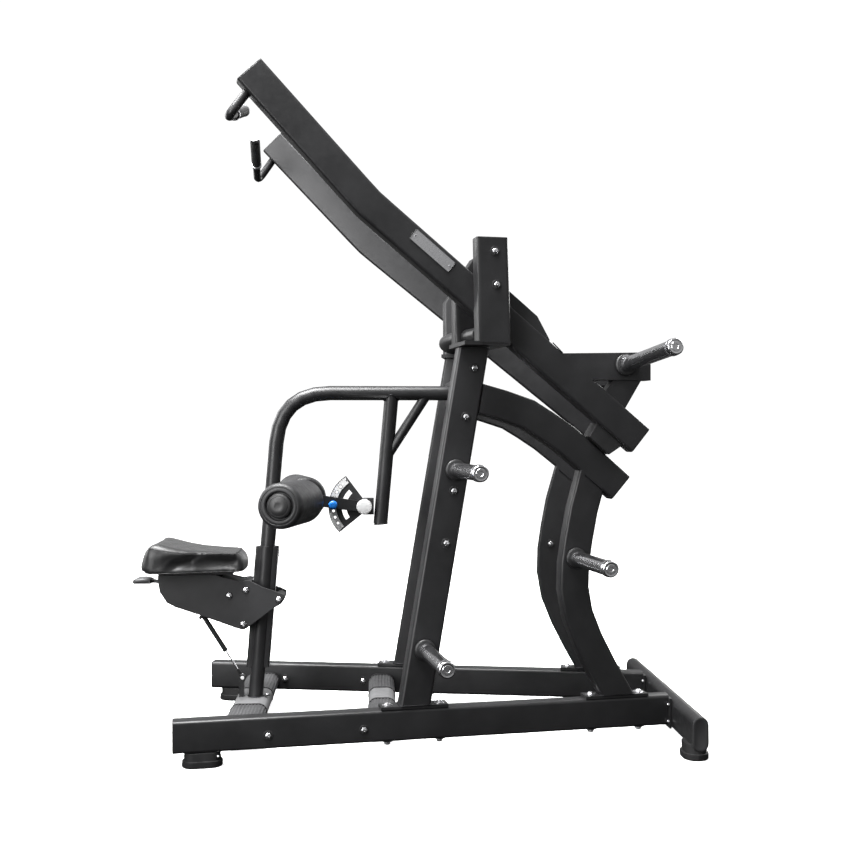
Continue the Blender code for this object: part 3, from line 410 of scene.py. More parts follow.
# ---------------------------------------------------------------- fasteners, caps and welds
def frame_trim(s):
    out, inn = outward(s), -outward(s)
    bolts = Piece("bolts_side_" + hand(s), "frame")
    for u, z in ((0.286, 0.088), (0.585, 0.088)):
        screw(bolts, side(s, u, 0, z), out)
        screw(bolts, side(s, u, -TUBE_W, z), inn)
    for u, z in ((0.943, 1.229), (0.915, 1.072), (0.875, 0.835), (0.850, 0.669)):
        screw(bolts, side(s, u, 0, z), out)
    for u, z in ((0.984, 1.590), (0.989, 1.485)):
        screw(bolts, side(s, u, 0.100, z), out)
    for u, z in ((0.956, 1.350), (0.952, 1.400)):
        screw(bolts, side(s, u, -0.1063, z), inn, 0.0088, 0.0135)
    for u, z in ((upright_u(0.902) + 0.004, 0.902), (upright_u(0.331), 0.331), (1.286, 0.611)):
        screw(bolts, side(s, u, -TUBE_W, z), inn)
    for u in (0.664, 0.834, 1.347, 1.515):
        p = side(s, u, -TUBE_W / 2, RAIL_Z1 + 0.0100)
        bolts.lathe(p, (0, 0, 1), ((0, 0.0170), (0.0018, 0.0170), (0.0022, 0.0162)), STEEL, 28)
        screw(bolts, p + Vector((0, 0, 0.0016)), (0, 0, 1), 0.0110, 0)
        nut(bolts, side(s, u, -TUBE_W / 2, RAIL_Z0), (0, 0, -1))
    y_end = REAR_Y - 0.026 - 0.0004 - 0.008
    u = (y_end - CY - RAIL_Y) / COS
    xm = side(s, u, -TUBE_W / 2, 0).x
    for dx in (-0.0355, 0.0355):
        for z in (0.060, 0.116):
            screw(bolts, (xm + dx, y_end, z), (0, -1, 0), 0.0060, 0)
    p = side(s, 0.134, -0.0062, 0.0325)
    screw(bolts, p, out, 0.0048, 0)
    bolts.done(34)

    caps = Piece("end_caps_frame_" + hand(s), "frame")
    front = -(side(s, 1, 0, 0) - side(s, 0, 0, 0))
    end_cap(caps, side(s, 0, -TUBE_W / 2, (RAIL_Z0 + RAIL_Z1) / 2), front, (0, 0, 1), TUBE_W, 0.100, TUBE_R)
    end_cap(caps, (s * REAR_HALF, REAR_Y, 0.027 + 0.0545), (s, 0, 0), (0, 0, 1), 0.052, 0.109, 0.0255)
    (ua, za), (ub, zb) = BEAM_END
    run = side(s, ub, 0, zb) - side(s, ua, 0, za)
    up = side(s, ub - (zb - za), 0, zb + (ub - ua)) - side(s, ub, 0, zb)
    end_cap(caps, side(s, ub, -TUBE_W / 2, zb), run, up, TUBE_W, TUBE_H, TUBE_R)
    end_cap(caps, side(s, 0.975, 0.071, 1.6320), (0, 0, 1), outward(s), 0.102, 0.058, 0.008)
    end_cap(caps, side(s, 0.9790, -0.07915, 1.5850), (0, 0, 1), outward(s), 0.0580, 0.0543, 0.006)
    caps.done(40)

    welds = Piece("weld_beads_" + hand(s), "frame")
    z = RAIL_Z1 + 0.0102
    half = TUBE_H / 2 * math.hypot(1, 0.1691)
    ring = [side(s, upright_u(z) + a, b - TUBE_W / 2, z) for a, b in rounded(2 * half + 0.003, TUBE_W + 0.002, TUBE_R, 5)]
    weld_bead(welds, ring, 0.0026)
    ring = [side(s, 1.4335 + a, b - TUBE_W / 2, z) for a, b in rounded(0.1180, TUBE_W + 0.001, TUBE_R, 5)]
    weld_bead(welds, ring, 0.0026)
    for v in (-0.0006, -TUBE_W + 0.0006):
        weld_bead(welds, [side(s, u, v, z) for u, z in ((1.3165, 0.8830), (1.3460, 0.8580), (1.3820, 0.8290), (1.4010, 0.8140))], 0.0026, False)
    welds.done(60)


def arm_trim(s):
    body = "arm_" + hand(s)
    vm = (ARM_V0 + ARM_V1) / 2
    caps = Piece("end_caps_arm_" + hand(s), body)
    for (ua, za), (ub, zb) in ((ARM_PATH[1], ARM_PATH[0]), (ARM_PATH[3], ARM_PATH[4])):
        run = side(s, ub, 0, zb) - side(s, ua, 0, za)
        up = side(s, ub - (zb - za), 0, zb + (ub - ua)) - side(s, ub, 0, zb)
        end_cap(caps, side(s, ub, vm, zb), run, up, TUBE_W, TUBE_H, TUBE_R)
    caps.done(40)
    # horn base collar and end disc
    out = outward(s).normalized()
    tilt = (out * math.cos(math.radians(5)) + Vector((0, 0, 1)) * math.sin(math.radians(5))).normalized()
    base = side(s, 1.447, ARM_V1, 1.2430)
    horn_dress("horn_trim_loading_" + hand(s), body, base, tilt, 0.385, 0.0365)
    # badge frame
    trim = Piece("badge_rim_" + hand(s), body)
    (ua, za), (ub, zb) = ARM_PATH[3], ARM_PATH[4]
    run = Vector((ub - ua, zb - za)).normalized()
    up = Vector((-run.y, run.x))
    rings = []
    for dv, grow in ((0.0003, 0.0016), (0.0024, 0.0016), (0.0029, 0.0008), (0.0024, 0.0), (0.0016, -0.0006)):
        ring = []
        for a, b in rounded(0.160 + 2 * grow, 0.038 + 2 * grow, 0.004 + grow, 5):
            q = Vector((0.798, 1.5955)) + run * a + up * b
            ring.append(side(s, q.x, ARM_V1 + dv, q.y))
        rings.append(ring)
    trim.skin(rings, SOFT_BLACK, loop=True)
    for a in (-0.072, 0.072):
        q = Vector((0.798, 1.5955)) + run * a
        trim.lathe(side(s, q.x, ARM_V1 + 0.0017, q.y), out, ((0, 0.0034), (0.0007, 0.0032), (0.0012, 0.0018), (0.0013, 0.0002)), STEEL, 18)
    trim.done(40)
    # weld beads where the outrigger tube meets the arm
    welds = Piece("weld_beads_arm_" + hand(s), body)
    for v in (ARM_V0 + 0.0008, ARM_V1 - 0.0008):
        weld_bead(welds, [side(s, u, v, z) for u, z in ((1.196, 1.3120), (1.216, 1.2930), (1.230, 1.2790))], 0.0024, False)
    welds.done(60)
    # handle collars
    root = side(s, 0.2200, vm, 2.0650)
    elbow = side(s, 0.1620, vm, 1.9860)
    end = Vector((s * 0.170, -0.5490 + CY, 2.0850))
    run3 = (end - elbow).normalized()
    start = end - run3 * 0.180
    grips = Piece("grip_collars_" + hand(s), body)
    grips.lathe(end, run3, ((-0.0090, 0.0176), (-0.0082, 0.0192), (0.0030, 0.0194), (0.0050, 0.0182), (0.0058, 0.0140), (0.0050, 0.0120), (0.0050, 0.0002)), ALUMINIUM, 40)
    grips.lathe(start, run3, ((-0.0050, 0.0148), (-0.0058, 0.0170), (-0.0046, 0.0190), (0.0060, 0.0194), (0.0072, 0.0178), (0.0072, 0.0150)), ALUMINIUM, 40, loop=True)
    for k in range(14):
        t = 0.016 + k * 0.0112
        grips.lathe(start, run3, ((t, 0.0168), (t + 0.0014, 0.0179), (t + 0.0056, 0.0180), (t + 0.0072, 0.0168)), GRIP, 32)
    grips.done(40)


def horn_dress(name, body, base, axis, length, collar):
    piece = Piece(name, body)
    piece.lathe(base, axis, ((0.0002, collar), (0.0085, collar), (0.0105, collar - 0.0016), (0.0118, collar - 0.0060), (0.0120, 0.0244)), MOULDED, 40)
    tip = Vector(base) + Vector(axis).normalized() * length
    piece.lathe(tip, axis, ((-0.0004, 0.0224), (0.0006, 0.0222), (0.0012, 0.0210), (0.0006, 0.0196), (0.0006, 0.0150), (0.0013, 0.0142), (0.0013, 0.0078), (0.0004, 0.0068), (0.0004, 0.0002)), CHROME, 44)
    for k in (0.0245, 0.0205):
        piece.lathe(tip, axis, ((-k, 0.0250), (-k + 0.0005, 0.0263), (-k + 0.0012, 0.0263), (-k + 0.0017, 0.0250)), CHROME, 44)
    piece.done(36)


def horns(s):
    out = outward(s)
    for label, u, z in (("upper", upright_u(0.902) + 0.004, 0.902), ("lower", upright_u(0.331), 0.331), ("rear", 1.286, 0.611)):
        horn_dress(f"horn_trim_{label}_{hand(s)}", "frame", side(s, u, 0, z), out, 0.310, 0.0338)


# ---------------------------------------------------------------- ribbed sleeves on the cross bars
def inner_face_x(y):
    v = -TUBE_W - 0.0004
    u = (y - CY - RAIL_Y - SIN * v) / COS
    return RAIL_X - SIN * u + COS * v


def sleeve_section(width, height, grow, ribs):
    base = rounded(width + 2 * grow, height + 2 * grow, (height + 2 * grow) / 2 - 0.0006, 14)
    dense, count = [], len(base)
    for i in range(count):
        a, b = Vector(base[i]), Vector(base[(i + 1) % count])
        steps = max(1, int((b - a).length / 0.0016))
        dense += [a + (b - a) * (k / steps) for k in range(steps)]
    if not ribs:
        return dense
    out, run = [], 0.0
    for i, p in enumerate(dense):
        q = dense[(i + 1) % len(dense)]
        tangent = (q - dense[i - 1]).normalized()
        normal = Vector((tangent.y, -tangent.x))
        run += (p - dense[i - 1]).length
        wave = math.cos(math.tau * run / 0.0112)
        out.append(p + normal * (0.0011 * max(-0.55, min(0.8, wave * 1.6))))
    return out


def sleeves(name, yc, width, z0, z1, ring_x):
    height, zc = z1 - z0, (z0 + z1) / 2
    piece = Piece(name, "frame")
    end = inner_face_x(yc + width / 2) - 0.020

    def run(sec, xs, mat):
        piece.skin([[Vector((x, yc + a, zc + b)) for a, b in sec] for x in xs], mat)

    ribbed = sleeve_section(width, height, 0.0016, True)
    smooth = sleeve_section(width, height, 0.0012, False)
    band = sleeve_section(width, height, 0.0034, False)
    for s in (-1, 1):
        run(ribbed, (s * (ring_x + 0.002), s * end), RIBBED)
        run(band, (s * (ring_x - 0.004), s * (ring_x + 0.005)), RUBBER)
        run(band, (s * (end - 0.001), s * (end + 0.007)), RUBBER)
    run(smooth, (-ring_x + 0.003, ring_x - 0.003), GREY)
    piece.done(30)


# ---------------------------------------------------------------- seat
SEAT_HALF = ((-0.9030, 0.095), (-0.8990, 0.128), (-0.8780, 0.152), (-0.8300, 0.160), (-0.7700, 0.150), (-0.6900, 0.122), (-0.6200, 0.108), (-0.5800, 0.104), (-0.5620, 0.090), (-0.5560, 0.060))


def seat_outline(rounds=3):
    cy, k = -0.723, 1.0
    pts = [(x, cy + (y - cy) * k) for y, x in SEAT_HALF]
    pts = [Vector(p) for p in pts + [(-x, y) for x, y in reversed(pts)]]
    for _ in range(rounds):
        pts = [q for i, p in enumerate(pts) for q in (p * 0.75 + pts[(i + 1) % len(pts)] * 0.25, p * 0.25 + pts[(i + 1) % len(pts)] * 0.75)]
    return pts


CROWN = ((-0.912, 0.0340), (-0.895, 0.0375), (-0.872, 0.0385), (-0.850, 0.0370), (-0.825, 0.0315), (-0.790, 0.0225), (-0.763, 0.0165), (-0.720, 0.0110), (-0.680, 0.0078), (-0.640, 0.0045), (-0.600, 0.0010), (-0.550, -0.0030))


def seat_rise(y):
    return float(np.interp(y, [k for k, _ in CROWN], [k for _, k in CROWN]))


def smooth_step(a, b, x):
    t = min(1.0, max(0.0, (x - a) / (b - a)))
    return t * t * (3 - 2 * t)


def seat_rings(shrink):
    outline = seat_outline()
    count = len(outline)
    normals = []
    for i in range(count):
        run = (outline[(i + 2) % count] - outline[i - 2]).normalized()
        normals.append(Vector((run.y, -run.x)))
    if sum(n.dot(p - Vector((0, -0.723))) for n, p in zip(normals, outline)) < 0:
        normals = [-n for n in normals]
    # height, inset all round, how far the front half is scooped in under the edge
    walls = ((0.5476, 0.0100, 0.0), (0.5484, 0.0045, 0.0), (0.5505, 0.0012, 0.001), (0.5550, 0.0, 0.0045), (0.5610, 0.0, 0.0120), (0.5690, 0.0, 0.0205), (0.5780, 0.0, 0.0265), (0.5870, 0.0, 0.0275), (0.5950, 0.0, 0.0235), (0.6020, 0.0, 0.0160), (0.6080, 0.0, 0.0080), (0.6135, 0.0006, 0.0020))
    tops = ((0.10, 0.0020), (0.34, 0.0042), (0.60, 0.0078), (0.80, 0.0125), (0.92, 0.0190), (0.98, 0.0290), (1.0, 0.0480))

    def shaped(p, n, z, inset, tuck):
        ahead = smooth_step(-0.825, -0.765, p.y)
        nose = smooth_step(0.05, 0.95, n.y) if p.y > -0.723 else 0.0
        back = smooth_step(0.2, 0.9, -n.y) * (0.018 * (max(0.0, 0.570 - z) / 0.0225) ** 1.6 + 0.022 * max(0.0, z - 0.570) / 0.080) if p.y < -0.723 else 0.0
        lip = min(1.0, max(0.0, (z - 0.578) / 0.0395))
        curl = 0.034 * (1 - math.sqrt(1 - lip * lip)) * nose
        return p - n * (inset + 0.62 * tuck * ahead * (1 - nose) + back + curl + shrink)

    rings = []
    for z, inset, tuck in walls:
        ring = []
        for p, n in zip(outline, normals):
            q = shaped(p, n, z, inset, tuck)
            ring.append(Vector((q.x, q.y, z + (shrink if z < 0.556 else 0))))
        rings.append(ring)
    for lift, inset in tops:
        ring = []
        for p, n in zip(outline, normals):
            q = shaped(p, n, 0.6140 + lift * 0.8 * seat_rise(p.y), inset, 0.0)
            ring.append(Vector((q.x, q.y, 0.6140 + lift * seat_rise(q.y) - shrink * lift)))
        rings.append(ring)
    return rings


def seat_cushion():
    rings = seat_rings(0.0025)
    last = rings[-1]
    middle = Vector((0, -0.728))
    for k in (0.70, 0.40, 0.12):
        rings.append([Vector((middle.x + (p.x - middle.x) * k, middle.y + (p.y - middle.y) * k, 0.6140 + seat_rise(middle.y + (p.y - middle.y) * k) - 0.0025)) for p in last])
    rough = Piece("seat_cushion_cover", "seat_carriage")
    rough.skin([[Vector((p.x, p.y + CY, p.z)) for p in ring] for ring in rings], VINYL)
    obj = rough.done(180)
    mesh = obj.data
    remesh = obj.modifiers.new("even", "REMESH")
    remesh.mode, remesh.voxel_size = "VOXEL", 0.0042
    bpy.context.view_layer.update()
    graph = bpy.context.evaluated_depsgraph_get()
    even = bpy.data.meshes.new_from_object(obj.evaluated_get(graph))
    obj.modifiers.clear()
    obj.data = even
    obj.data.materials.clear()
    obj.data.materials.append(VINYL)
    bpy.data.meshes.remove(mesh)
    start = np.array([v.co for v in obj.data.vertices])
    group = obj.vertex_groups.new(name="held")
    for v in obj.data.vertices:
        if v.co.z < 0.5510:
            group.add([v.index], 1.0, "REPLACE")
        elif v.co.z < 0.556:
            group.add([v.index], 0.4, "REPLACE")
    cloth = obj.modifiers.new("cloth", "CLOTH")
    cloth.settings.quality = 6
    cloth.settings.mass = 0.4
    cloth.settings.tension_stiffness = cloth.settings.compression_stiffness = 20
    cloth.settings.shear_stiffness = 12
    cloth.settings.bending_stiffness = 2.0
    cloth.settings.use_pressure = True
    cloth.settings.uniform_pressure_force = 4.0
    cloth.settings.vertex_group_mass = "held"
    cloth.settings.effector_weights.gravity = 0.0
    cloth.collision_settings.use_collision = False
    scene = bpy.context.scene
    cloth.point_cache.frame_start, cloth.point_cache.frame_end = 1, 20
    for step in range(1, 21):
        scene.frame_set(step)
    graph = bpy.context.evaluated_depsgraph_get()
    moved = bpy.data.meshes.new_from_object(obj.evaluated_get(graph))
    after = np.array([v.co for v in moved.vertices])
    obj.modifiers.clear()
    scene.frame_set(1)
    shift = after - start
    size = np.linalg.norm(shift, axis=1, keepdims=True)
    shift *= np.minimum(1.0, 0.0030 / np.maximum(size, 1e-9))
    obj.data = moved
    obj.data.vertices.foreach_set("co", (start + shift).astype(np.float32).ravel())
    obj.vertex_groups.clear()
    for _ in range(3):
        work = bmesh.new()
        work.from_mesh(obj.data)
        bmesh.ops.smooth_vert(work, verts=work.verts, factor=0.5, use_axis_x=True, use_axis_y=True, use_axis_z=True)
        bmesh.ops.smooth_vert(work, verts=work.verts, factor=0.5, use_axis_x=True, use_axis_y=True, use_axis_z=True)
        work.to_mesh(obj.data)
        work.free()
    obj.data.polygons.foreach_set("use_smooth", [True] * len(obj.data.polygons))
    finer = obj.modifiers.new("finer", "SUBSURF")
    finer.levels = finer.render_levels = 1
    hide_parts("seat_cushion")
    # seams laid on the finished surface
    tree = BVHTree.FromPolygons([v.co.copy() for v in obj.data.vertices], [tuple(p.vertices) for p in obj.data.polygons])

    def on_surface(p, lift=0.0):
        hit, normal, _, _ = tree.find_nearest(Vector(p))
        return hit + normal * lift

    guides = seat_rings(0.0)
    seams = Piece("seat_cushion_seams", "seat_carriage")
    for index, r in ((2, 0.0016), (14, 0.0011)):
        ring = [Vector((p.x, p.y + CY, p.z)) for p in guides[index]]
        seams.tube([on_surface(p, 0.0002) for p in ring], r, VINYL if index == 2 else THREAD, 8, True)
        if index == 14:
            for dz in (0.0045, -0.0045):
                line = [on_surface(p + Vector((0, 0, dz)), 0.0) for p in ring]
                for i in range(0, len(line), 2):
                    a, b = line[i], line[(i + 1) % len(line)]
                    if (b - a).length > 0.0012:
                        m = a + (b - a) * 0.80
                        seams.tube([a, (a + m) / 2 + (a - Vector((0, -0.72, 0.6))).normalized() * 0.0004, m], 0.00045, THREAD, 5)
    for s in (-1, 1):
        path = []
        for k in range(24):
            t = k / 23
            path.append(on_surface(Vector((s * (0.128 - 0.010 * t), -0.8890 + CY + 0.016 * t, 0.560 + 0.078 * t)), 0.0002))
        seams.tube(path, 0.0013, THREAD, 8)
    seams.done(60)


def seat_trim():
    bolts = Piece("bolts_seat", "seat_carriage")
    for y, z in ((-0.6115, 0.467), (-0.5550, 0.486), (-0.4440, 0.453), (-0.5642, 0.370)):
        for s in (-1, 1):
            screw(bolts, (s * 0.0620, y + CY, z), (s, 0, 0), 0.0104, 0.0118)
    for s in (-1, 1):
        for y in (-0.825, -0.690):
            screw(bolts, (s * 0.030, y + CY, 0.5384), (0, 0, -1), 0.0070, 0.0090)
    bolts.done(34)
    # folded bracket between the side plates, just behind the cushion
    web = Piece("seat_bracket_web", "seat_carriage")
    path = ((-0.640, 0.5290), (-0.575, 0.5130), (-0.556, 0.5150), (-0.5385, 0.5130), (-0.560, 0.5070), (-0.580, 0.5080), (-0.645, 0.5240))
    web.skin([[Vector((x, y + CY, z)) for y, z in path] for x in (-0.0552, 0.0552)], SOFT_BLACK)
    web.done(30, 0.0008)
    lever = Piece("release_lever_paddle", "seat_release")
    rings = []
    for y, half, thick in ((-0.9438, 0.016, 0.0040), (-0.9425, 0.024, 0.0080), (-0.9380, 0.0310, 0.0120), (-0.9280, 0.0350, 0.0150), (-0.9080, 0.0350, 0.0160), (-0.8900, 0.0320, 0.0150), (-0.8820, 0.0240, 0.0120), (-0.8790, 0.0140, 0.0070)):
        zc = 0.5118 + 0.004 * math.sin((y + 0.9438) / 0.0648 * math.pi)
        rings.append([Vector((a, y + CY, zc + b)) for a, b in rounded(2 * half, thick, thick * 0.46, 6)])
    lever.skin(rings, LEVER)
    lever.done(60)


def post_y(z):
    return -0.5280 + 0.0790 * (z - 0.1106) + CY


def slide_trim():
    piece = Piece("slide_strips", "frame")
    for sign in (-1, 1):
        rings = []
        z0, z1 = 0.218, (0.606 if sign > 0 else 0.622)
        for z in (z0, z0 + 0.002, z1 - 0.002, z1):
            w = 0.0095 if z in (z0, z1) else 0.0105
            y = post_y(z) + sign * 0.0390
            rings.append([Vector((a, y + b, z)) for a, b in rounded(2 * w, 0.0007, 0.0003, 3)])
        piece.skin(rings, GLIDE)
    for k in range(4):
        z = 0.6205 - 0.0085 * k
        piece.lathe((-0.0120, post_y(z) + 0.0385, z), (1, 0, 0), ((0, 0.0026), (0.001, 0.0034), (0.023, 0.0034), (0.024, 0.0026)), GLIDE, 16)
    for z, top in ((0.1116, False),):
        piece.lathe((0, post_y(z), z), (0, 0.079, 1), ((0, 0.0290), (0.0012, 0.0296), (0.0034, 0.0272), (0.0042, 0.0252)), WELD, 40)
    for y in (-0.0345, 0.0345):
        screw(piece, (0.0, -0.5320 + CY + y * 1.25, 0.1128), (0, 0, 1), 0.0080, 0.0105)
    piece.done(40)


# ---------------------------------------------------------------- gas spring
def gas_trim():
    top, low = Vector((0, -0.7090 + CY, 0.3920)), Vector((0, -0.5720 + CY, 0.1770))
    along = (low - top).normalized()
    span = (low - top).length
    cylinder = Piece("gas_spring_rings", "gas_cylinder")
    for t in (0.138,):
        cylinder.lathe(top, along, ((t, 0.0084), (t + 0.0008, 0.0094), (t + 0.0050, 0.0094), (t + 0.0058, 0.0084)), MOULDED, 28)
    cylinder.done(40)
    eye = Piece("gas_spring_eye", "gas_rod")
    eye.lathe(low + Vector((-0.0055, 0, 0)), (1, 0, 0), ((0, 0.0066), (0, 0.0092), (0.0008, 0.0100), (0.0102, 0.0100), (0.0110, 0.0092), (0.0110, 0.0066)), MOULDED, 28, loop=True)
    eye.lathe(top, along, ((span - 0.034, 0.0034), (span - 0.032, 0.0056), (span - 0.014, 0.0062), (span - 0.008, 0.0058)), MOULDED, 6)
    eye.done(40)
    ears = Piece("gas_spring_clevis", "frame")
    for s in (-1, 1):
        outline = [(-0.012, -0.020), (0.0036, -0.020)] + [(0.0098 * math.cos(math.radians(a)) - 0.0010, 0.0098 * math.sin(math.radians(a))) for a in range(-10, 191, 20)]
        ears.skin([[Vector((x, low.y + a, low.z + b)) for a, b in outline] for x in (s * 0.0066, s * 0.0112)], BLACK)
    for s in (-1, 1):
        ears.lathe(low + Vector((s * 0.0062, 0, 0)), (s, 0, 0), ((0, 0.0036), (0.0052, 0.0040), (0.0056, 0.0064), (0.0084, 0.0064), (0.0090, 0.0050)), WHITE, 22)
    ears.done(40)


# ---------------------------------------------------------------- thigh rollers and adjuster
def roller(s):
    outer = Vector((s * 0.360, -0.4175 + CY, 0.790))
    along = Vector((s * 0.360, -0.4175 + 0.3400, 0)).normalized()
    length = 0.285
    start = outer + along * 0.004 - along * length
    name = "foam_roller_" + hand(s)
    piece = Piece(name + "_skin", "thigh_" + "roller_" + hand(s))
    half = ((0.0, 0.0430), (0.0, 0.0605), (0.0008, 0.0640), (0.0030, 0.0672), (0.0070, 0.0704), (0.0130, 0.0728), (0.0210, 0.0739))
    outside = list(half)
    for k in range(1, 24):
        t = 0.0210 + (length - 0.0420) * k / 24
        outside.append((t, 0.07395))
    outside += [(length - t, r) for t, r in reversed(half[2:])]
    end = [(length - 0.0003, 0.0612), (length - 0.0016, 0.0600), (length - 0.0016, 0.0580), (length - 0.0004, 0.0566), (length + 0.0002, 0.0500), (length - 0.0010, 0.0462), (length - 0.0050, 0.0440), (length - 0.0092, 0.0432), (length - 0.0094, 0.0130)]
    profile = outside + end + [(0.0010, 0.0130), (0.0010, 0.0400)]
    a, x, y = frame_of(along)
    n, rings = 96, []
    for t, r in profile:
        ring = []
        for i in range(n):
            q = math.tau * i / n
            p = start + a * t + x * (r * math.cos(q)) + y * (r * math.sin(q))
            if r > 0.066:
                k = noise.noise(p * 26.0) * 0.00045 + noise.noise(p * 90.0) * 0.00012
                p += (x * math.cos(q) + y * math.sin(q)) * (k - 0.0003)
            ring.append(p)
        rings.append(ring)
    piece.skin(rings, FOAM, loop=True)
    obj = piece.done(45)
    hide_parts(name)
    cap = Piece("roller_hub_" + hand(s), "roller_bracket")
    at = outer + along * 0.0004
    cap.lathe(at, along, ((0.0010, 0.0386), (0.0042, 0.0392), (0.0064, 0.0384), (0.0086, 0.0350), (0.0092, 0.0318), (0.0086, 0.0306), (0.0100, 0.0296), (0.0126, 0.0220), (0.0136, 0.0130), (0.0132, 0.0110), (0.0132, 0.0002)), MOULDED, 56)
    cap.done(30)
    inner = Piece("roller_inner_flange_" + hand(s), "thigh_" + "roller_" + hand(s))
    inner.lathe(start, along, ((-0.0030, 0.0160), (-0.0036, 0.0220), (-0.0030, 0.0400), (0.0, 0.0420), (0.0006, 0.0420), (0.0006, 0.0160)), MOULDED, 48, loop=True)
    inner.done(35)


def adjuster_trim():
    body = Piece("adjuster_scale_marks", "frame")
    for deg in range(126, 222, 4):
        a = math.radians(deg)
        major = (deg - 128) % 12 == 0
        r0, r1 = (0.1135 if major else 0.1165), 0.1205
        wide = 0.0005
        c, n = Vector((0, math.cos(a), math.sin(a))), Vector((0, -math.sin(a), math.cos(a)))
        ring0 = [ADJ + Vector((0.0266, 0, 0)) + c * r + n * k for r, k in ((r0, -wide), (r1, -wide), (r1, wide), (r0, wide))]
        body.skin([[p for p in ring0], [p + Vector((0.00025, 0, 0)) for p in ring0]], MOULDED)
    for step in (-36, -24, -12, 0, 12, 24, 36):
        a = math.radians(176 + step)
        p = ADJ + Vector((0.0266, 0.107 * math.cos(a), 0.107 * math.sin(a)))
        body.lathe(p, (1, 0, 0), ((0, 0.0054), (0, 0.0068), (0.0003, 0.0068), (0.0003, 0.0054)), MOULDED, 24, loop=True)
    for r0, r1 in ((0.1212, 0.1232), (0.0950, 0.0966)):
        rings = []
        for k in range(41):
            a = math.radians(122.4 + (224.6 - 122.4) * k / 40)
            c = Vector((0, math.cos(a), math.sin(a)))
            rings.append([ADJ + Vector((0.0252 + dx, 0, 0)) + c * r for r, dx in ((r0, 0), (r1, 0), (r1, 0.0018), (r0, 0.0018))])
        body.skin(rings, MOULDED)
    for deg in (123.6, 218.9):
        a = math.radians(deg)
        p = ADJ + Vector((0.0266, 0.109 * math.cos(a), 0.109 * math.sin(a)))
        body.lathe(p, (1, 0, 0), ((0, 0.0046), (0.0004, 0.0045), (0.0006, 0.0038), (0.0004, 0.0030), (0.0004, 0.0002)), STEEL, 20)
    body.done(35)
    cap = Piece("adjuster_pivot_cap", "roller_bracket")
    cap.lathe(ADJ + Vector((0.0358, 0, 0)), (1, 0, 0), ((0, 0.0255), (0.0010, 0.0264), (0.0060, 0.0264), (0.0080, 0.0252), (0.0090, 0.0224), (0.0084, 0.0212), (0.0094, 0.0200), (0.0104, 0.0110), (0.0106, 0.0002)), WHITE, 48)
    cap.done(30)
    knob = Piece("pop_pin_knob_ribs", "pop_pin_body")
    a = math.radians(176)
    p = ADJ + Vector((0.0200, 0.107 * math.cos(a), 0.107 * math.sin(a)))
    knob.lathe(p, (1, 0, 0), ((0.0318, 0.0138), (0.0330, 0.0150), (0.0462, 0.0150), (0.0482, 0.0140), (0.0512, 0.0104), (0.0518, 0.0050), (0.0518, 0.0002)), BLUE, 96, ripple=lambda q: 0.022 * math.cos(16 * q))
    knob.lathe(p, (1, 0, 0), ((0.0136, 0.0118), (0.0140, 0.0128), (0.0270, 0.0128), (0.0280, 0.0118)), MOULDED, 6)
    knob.done(40)
    beads = Piece("weld_beads_centre", "frame")
    for centre, axis, r in (((0, -0.0958 + CY, 0.7060), (0, 0.0390, -0.4450), 0.0244),):
        beads.lathe(centre, axis, ((-0.0010, 0.0238), (0.0004, r), (0.0024, r), (0.0034, r - 0.0012), (0.0034, 0.0180), (0.0024, 0.0165), (0.0024, 0.0002)), CAP, 40)
    a0, x0, y0 = frame_of((0, 0.0390, 0.4450))
    ring = []
    for k in range(40):
        q = math.tau * k / 40
        d = x0 * math.cos(q) + y0 * math.sin(q)
        p = Vector((0, -0.0605 + CY, 1.1280)) + d * 0.0246
        ring.append(Vector((p.x, p.y, 1.158 - math.sqrt(max(0.0, 0.0252**2 - p.x**2)) * 0.998)))
    weld_bead(beads, ring, 0.0028)
    beads.done(50)


# ---------------------------------------------------------------- build
for s in (1, -1):
    frame_trim(s)
    arm_trim(s)
    horns(s)
    roller(s)
sleeves("sleeves_front_bar", -0.540 + CY, 0.120, 0.0560, 0.1100, 0.120)
sleeves("sleeves_foot_bar", -0.0920 + CY, 0.090, 0.0600, 0.1160, 0.082)
seat_cushion()
seat_trim()
slide_trim()
gas_trim()
adjuster_trim()

# ---------------------------------------------------------------- floor, light and camera
floor_mesh = bpy.data.meshes.new("floor")
floor_mesh.from_pydata([(-40, -40, -0.0005), (40, -40, -0.0005), (40, 40, -0.0005), (-40, 40, -0.0005)], [], [(0, 1, 2, 3)])
floor = bpy.data.objects.new("floor", floor_mesh)
bpy.context.scene.collection.objects.link(floor)
floor_mat = bpy.data.materials.new("floor_pale")
floor_mat.use_nodes = True
shader = floor_mat.node_tree.nodes["Principled BSDF"]
shader.inputs["Base Color"].default_value = (0.93, 0.93, 0.93, 1)
shader.inputs["Roughness"].default_value = 0.95
shader.inputs["Specular IOR Level"].default_value = 0.0
shader.inputs["Emission Color"].default_value = (1, 1, 1, 1)
shader.inputs["Emission Strength"].default_value = 0.78
floor_mesh.materials.append(floor_mat)
floor.visible_diffuse = floor.visible_glossy = False  # it doesn't light the machine from below

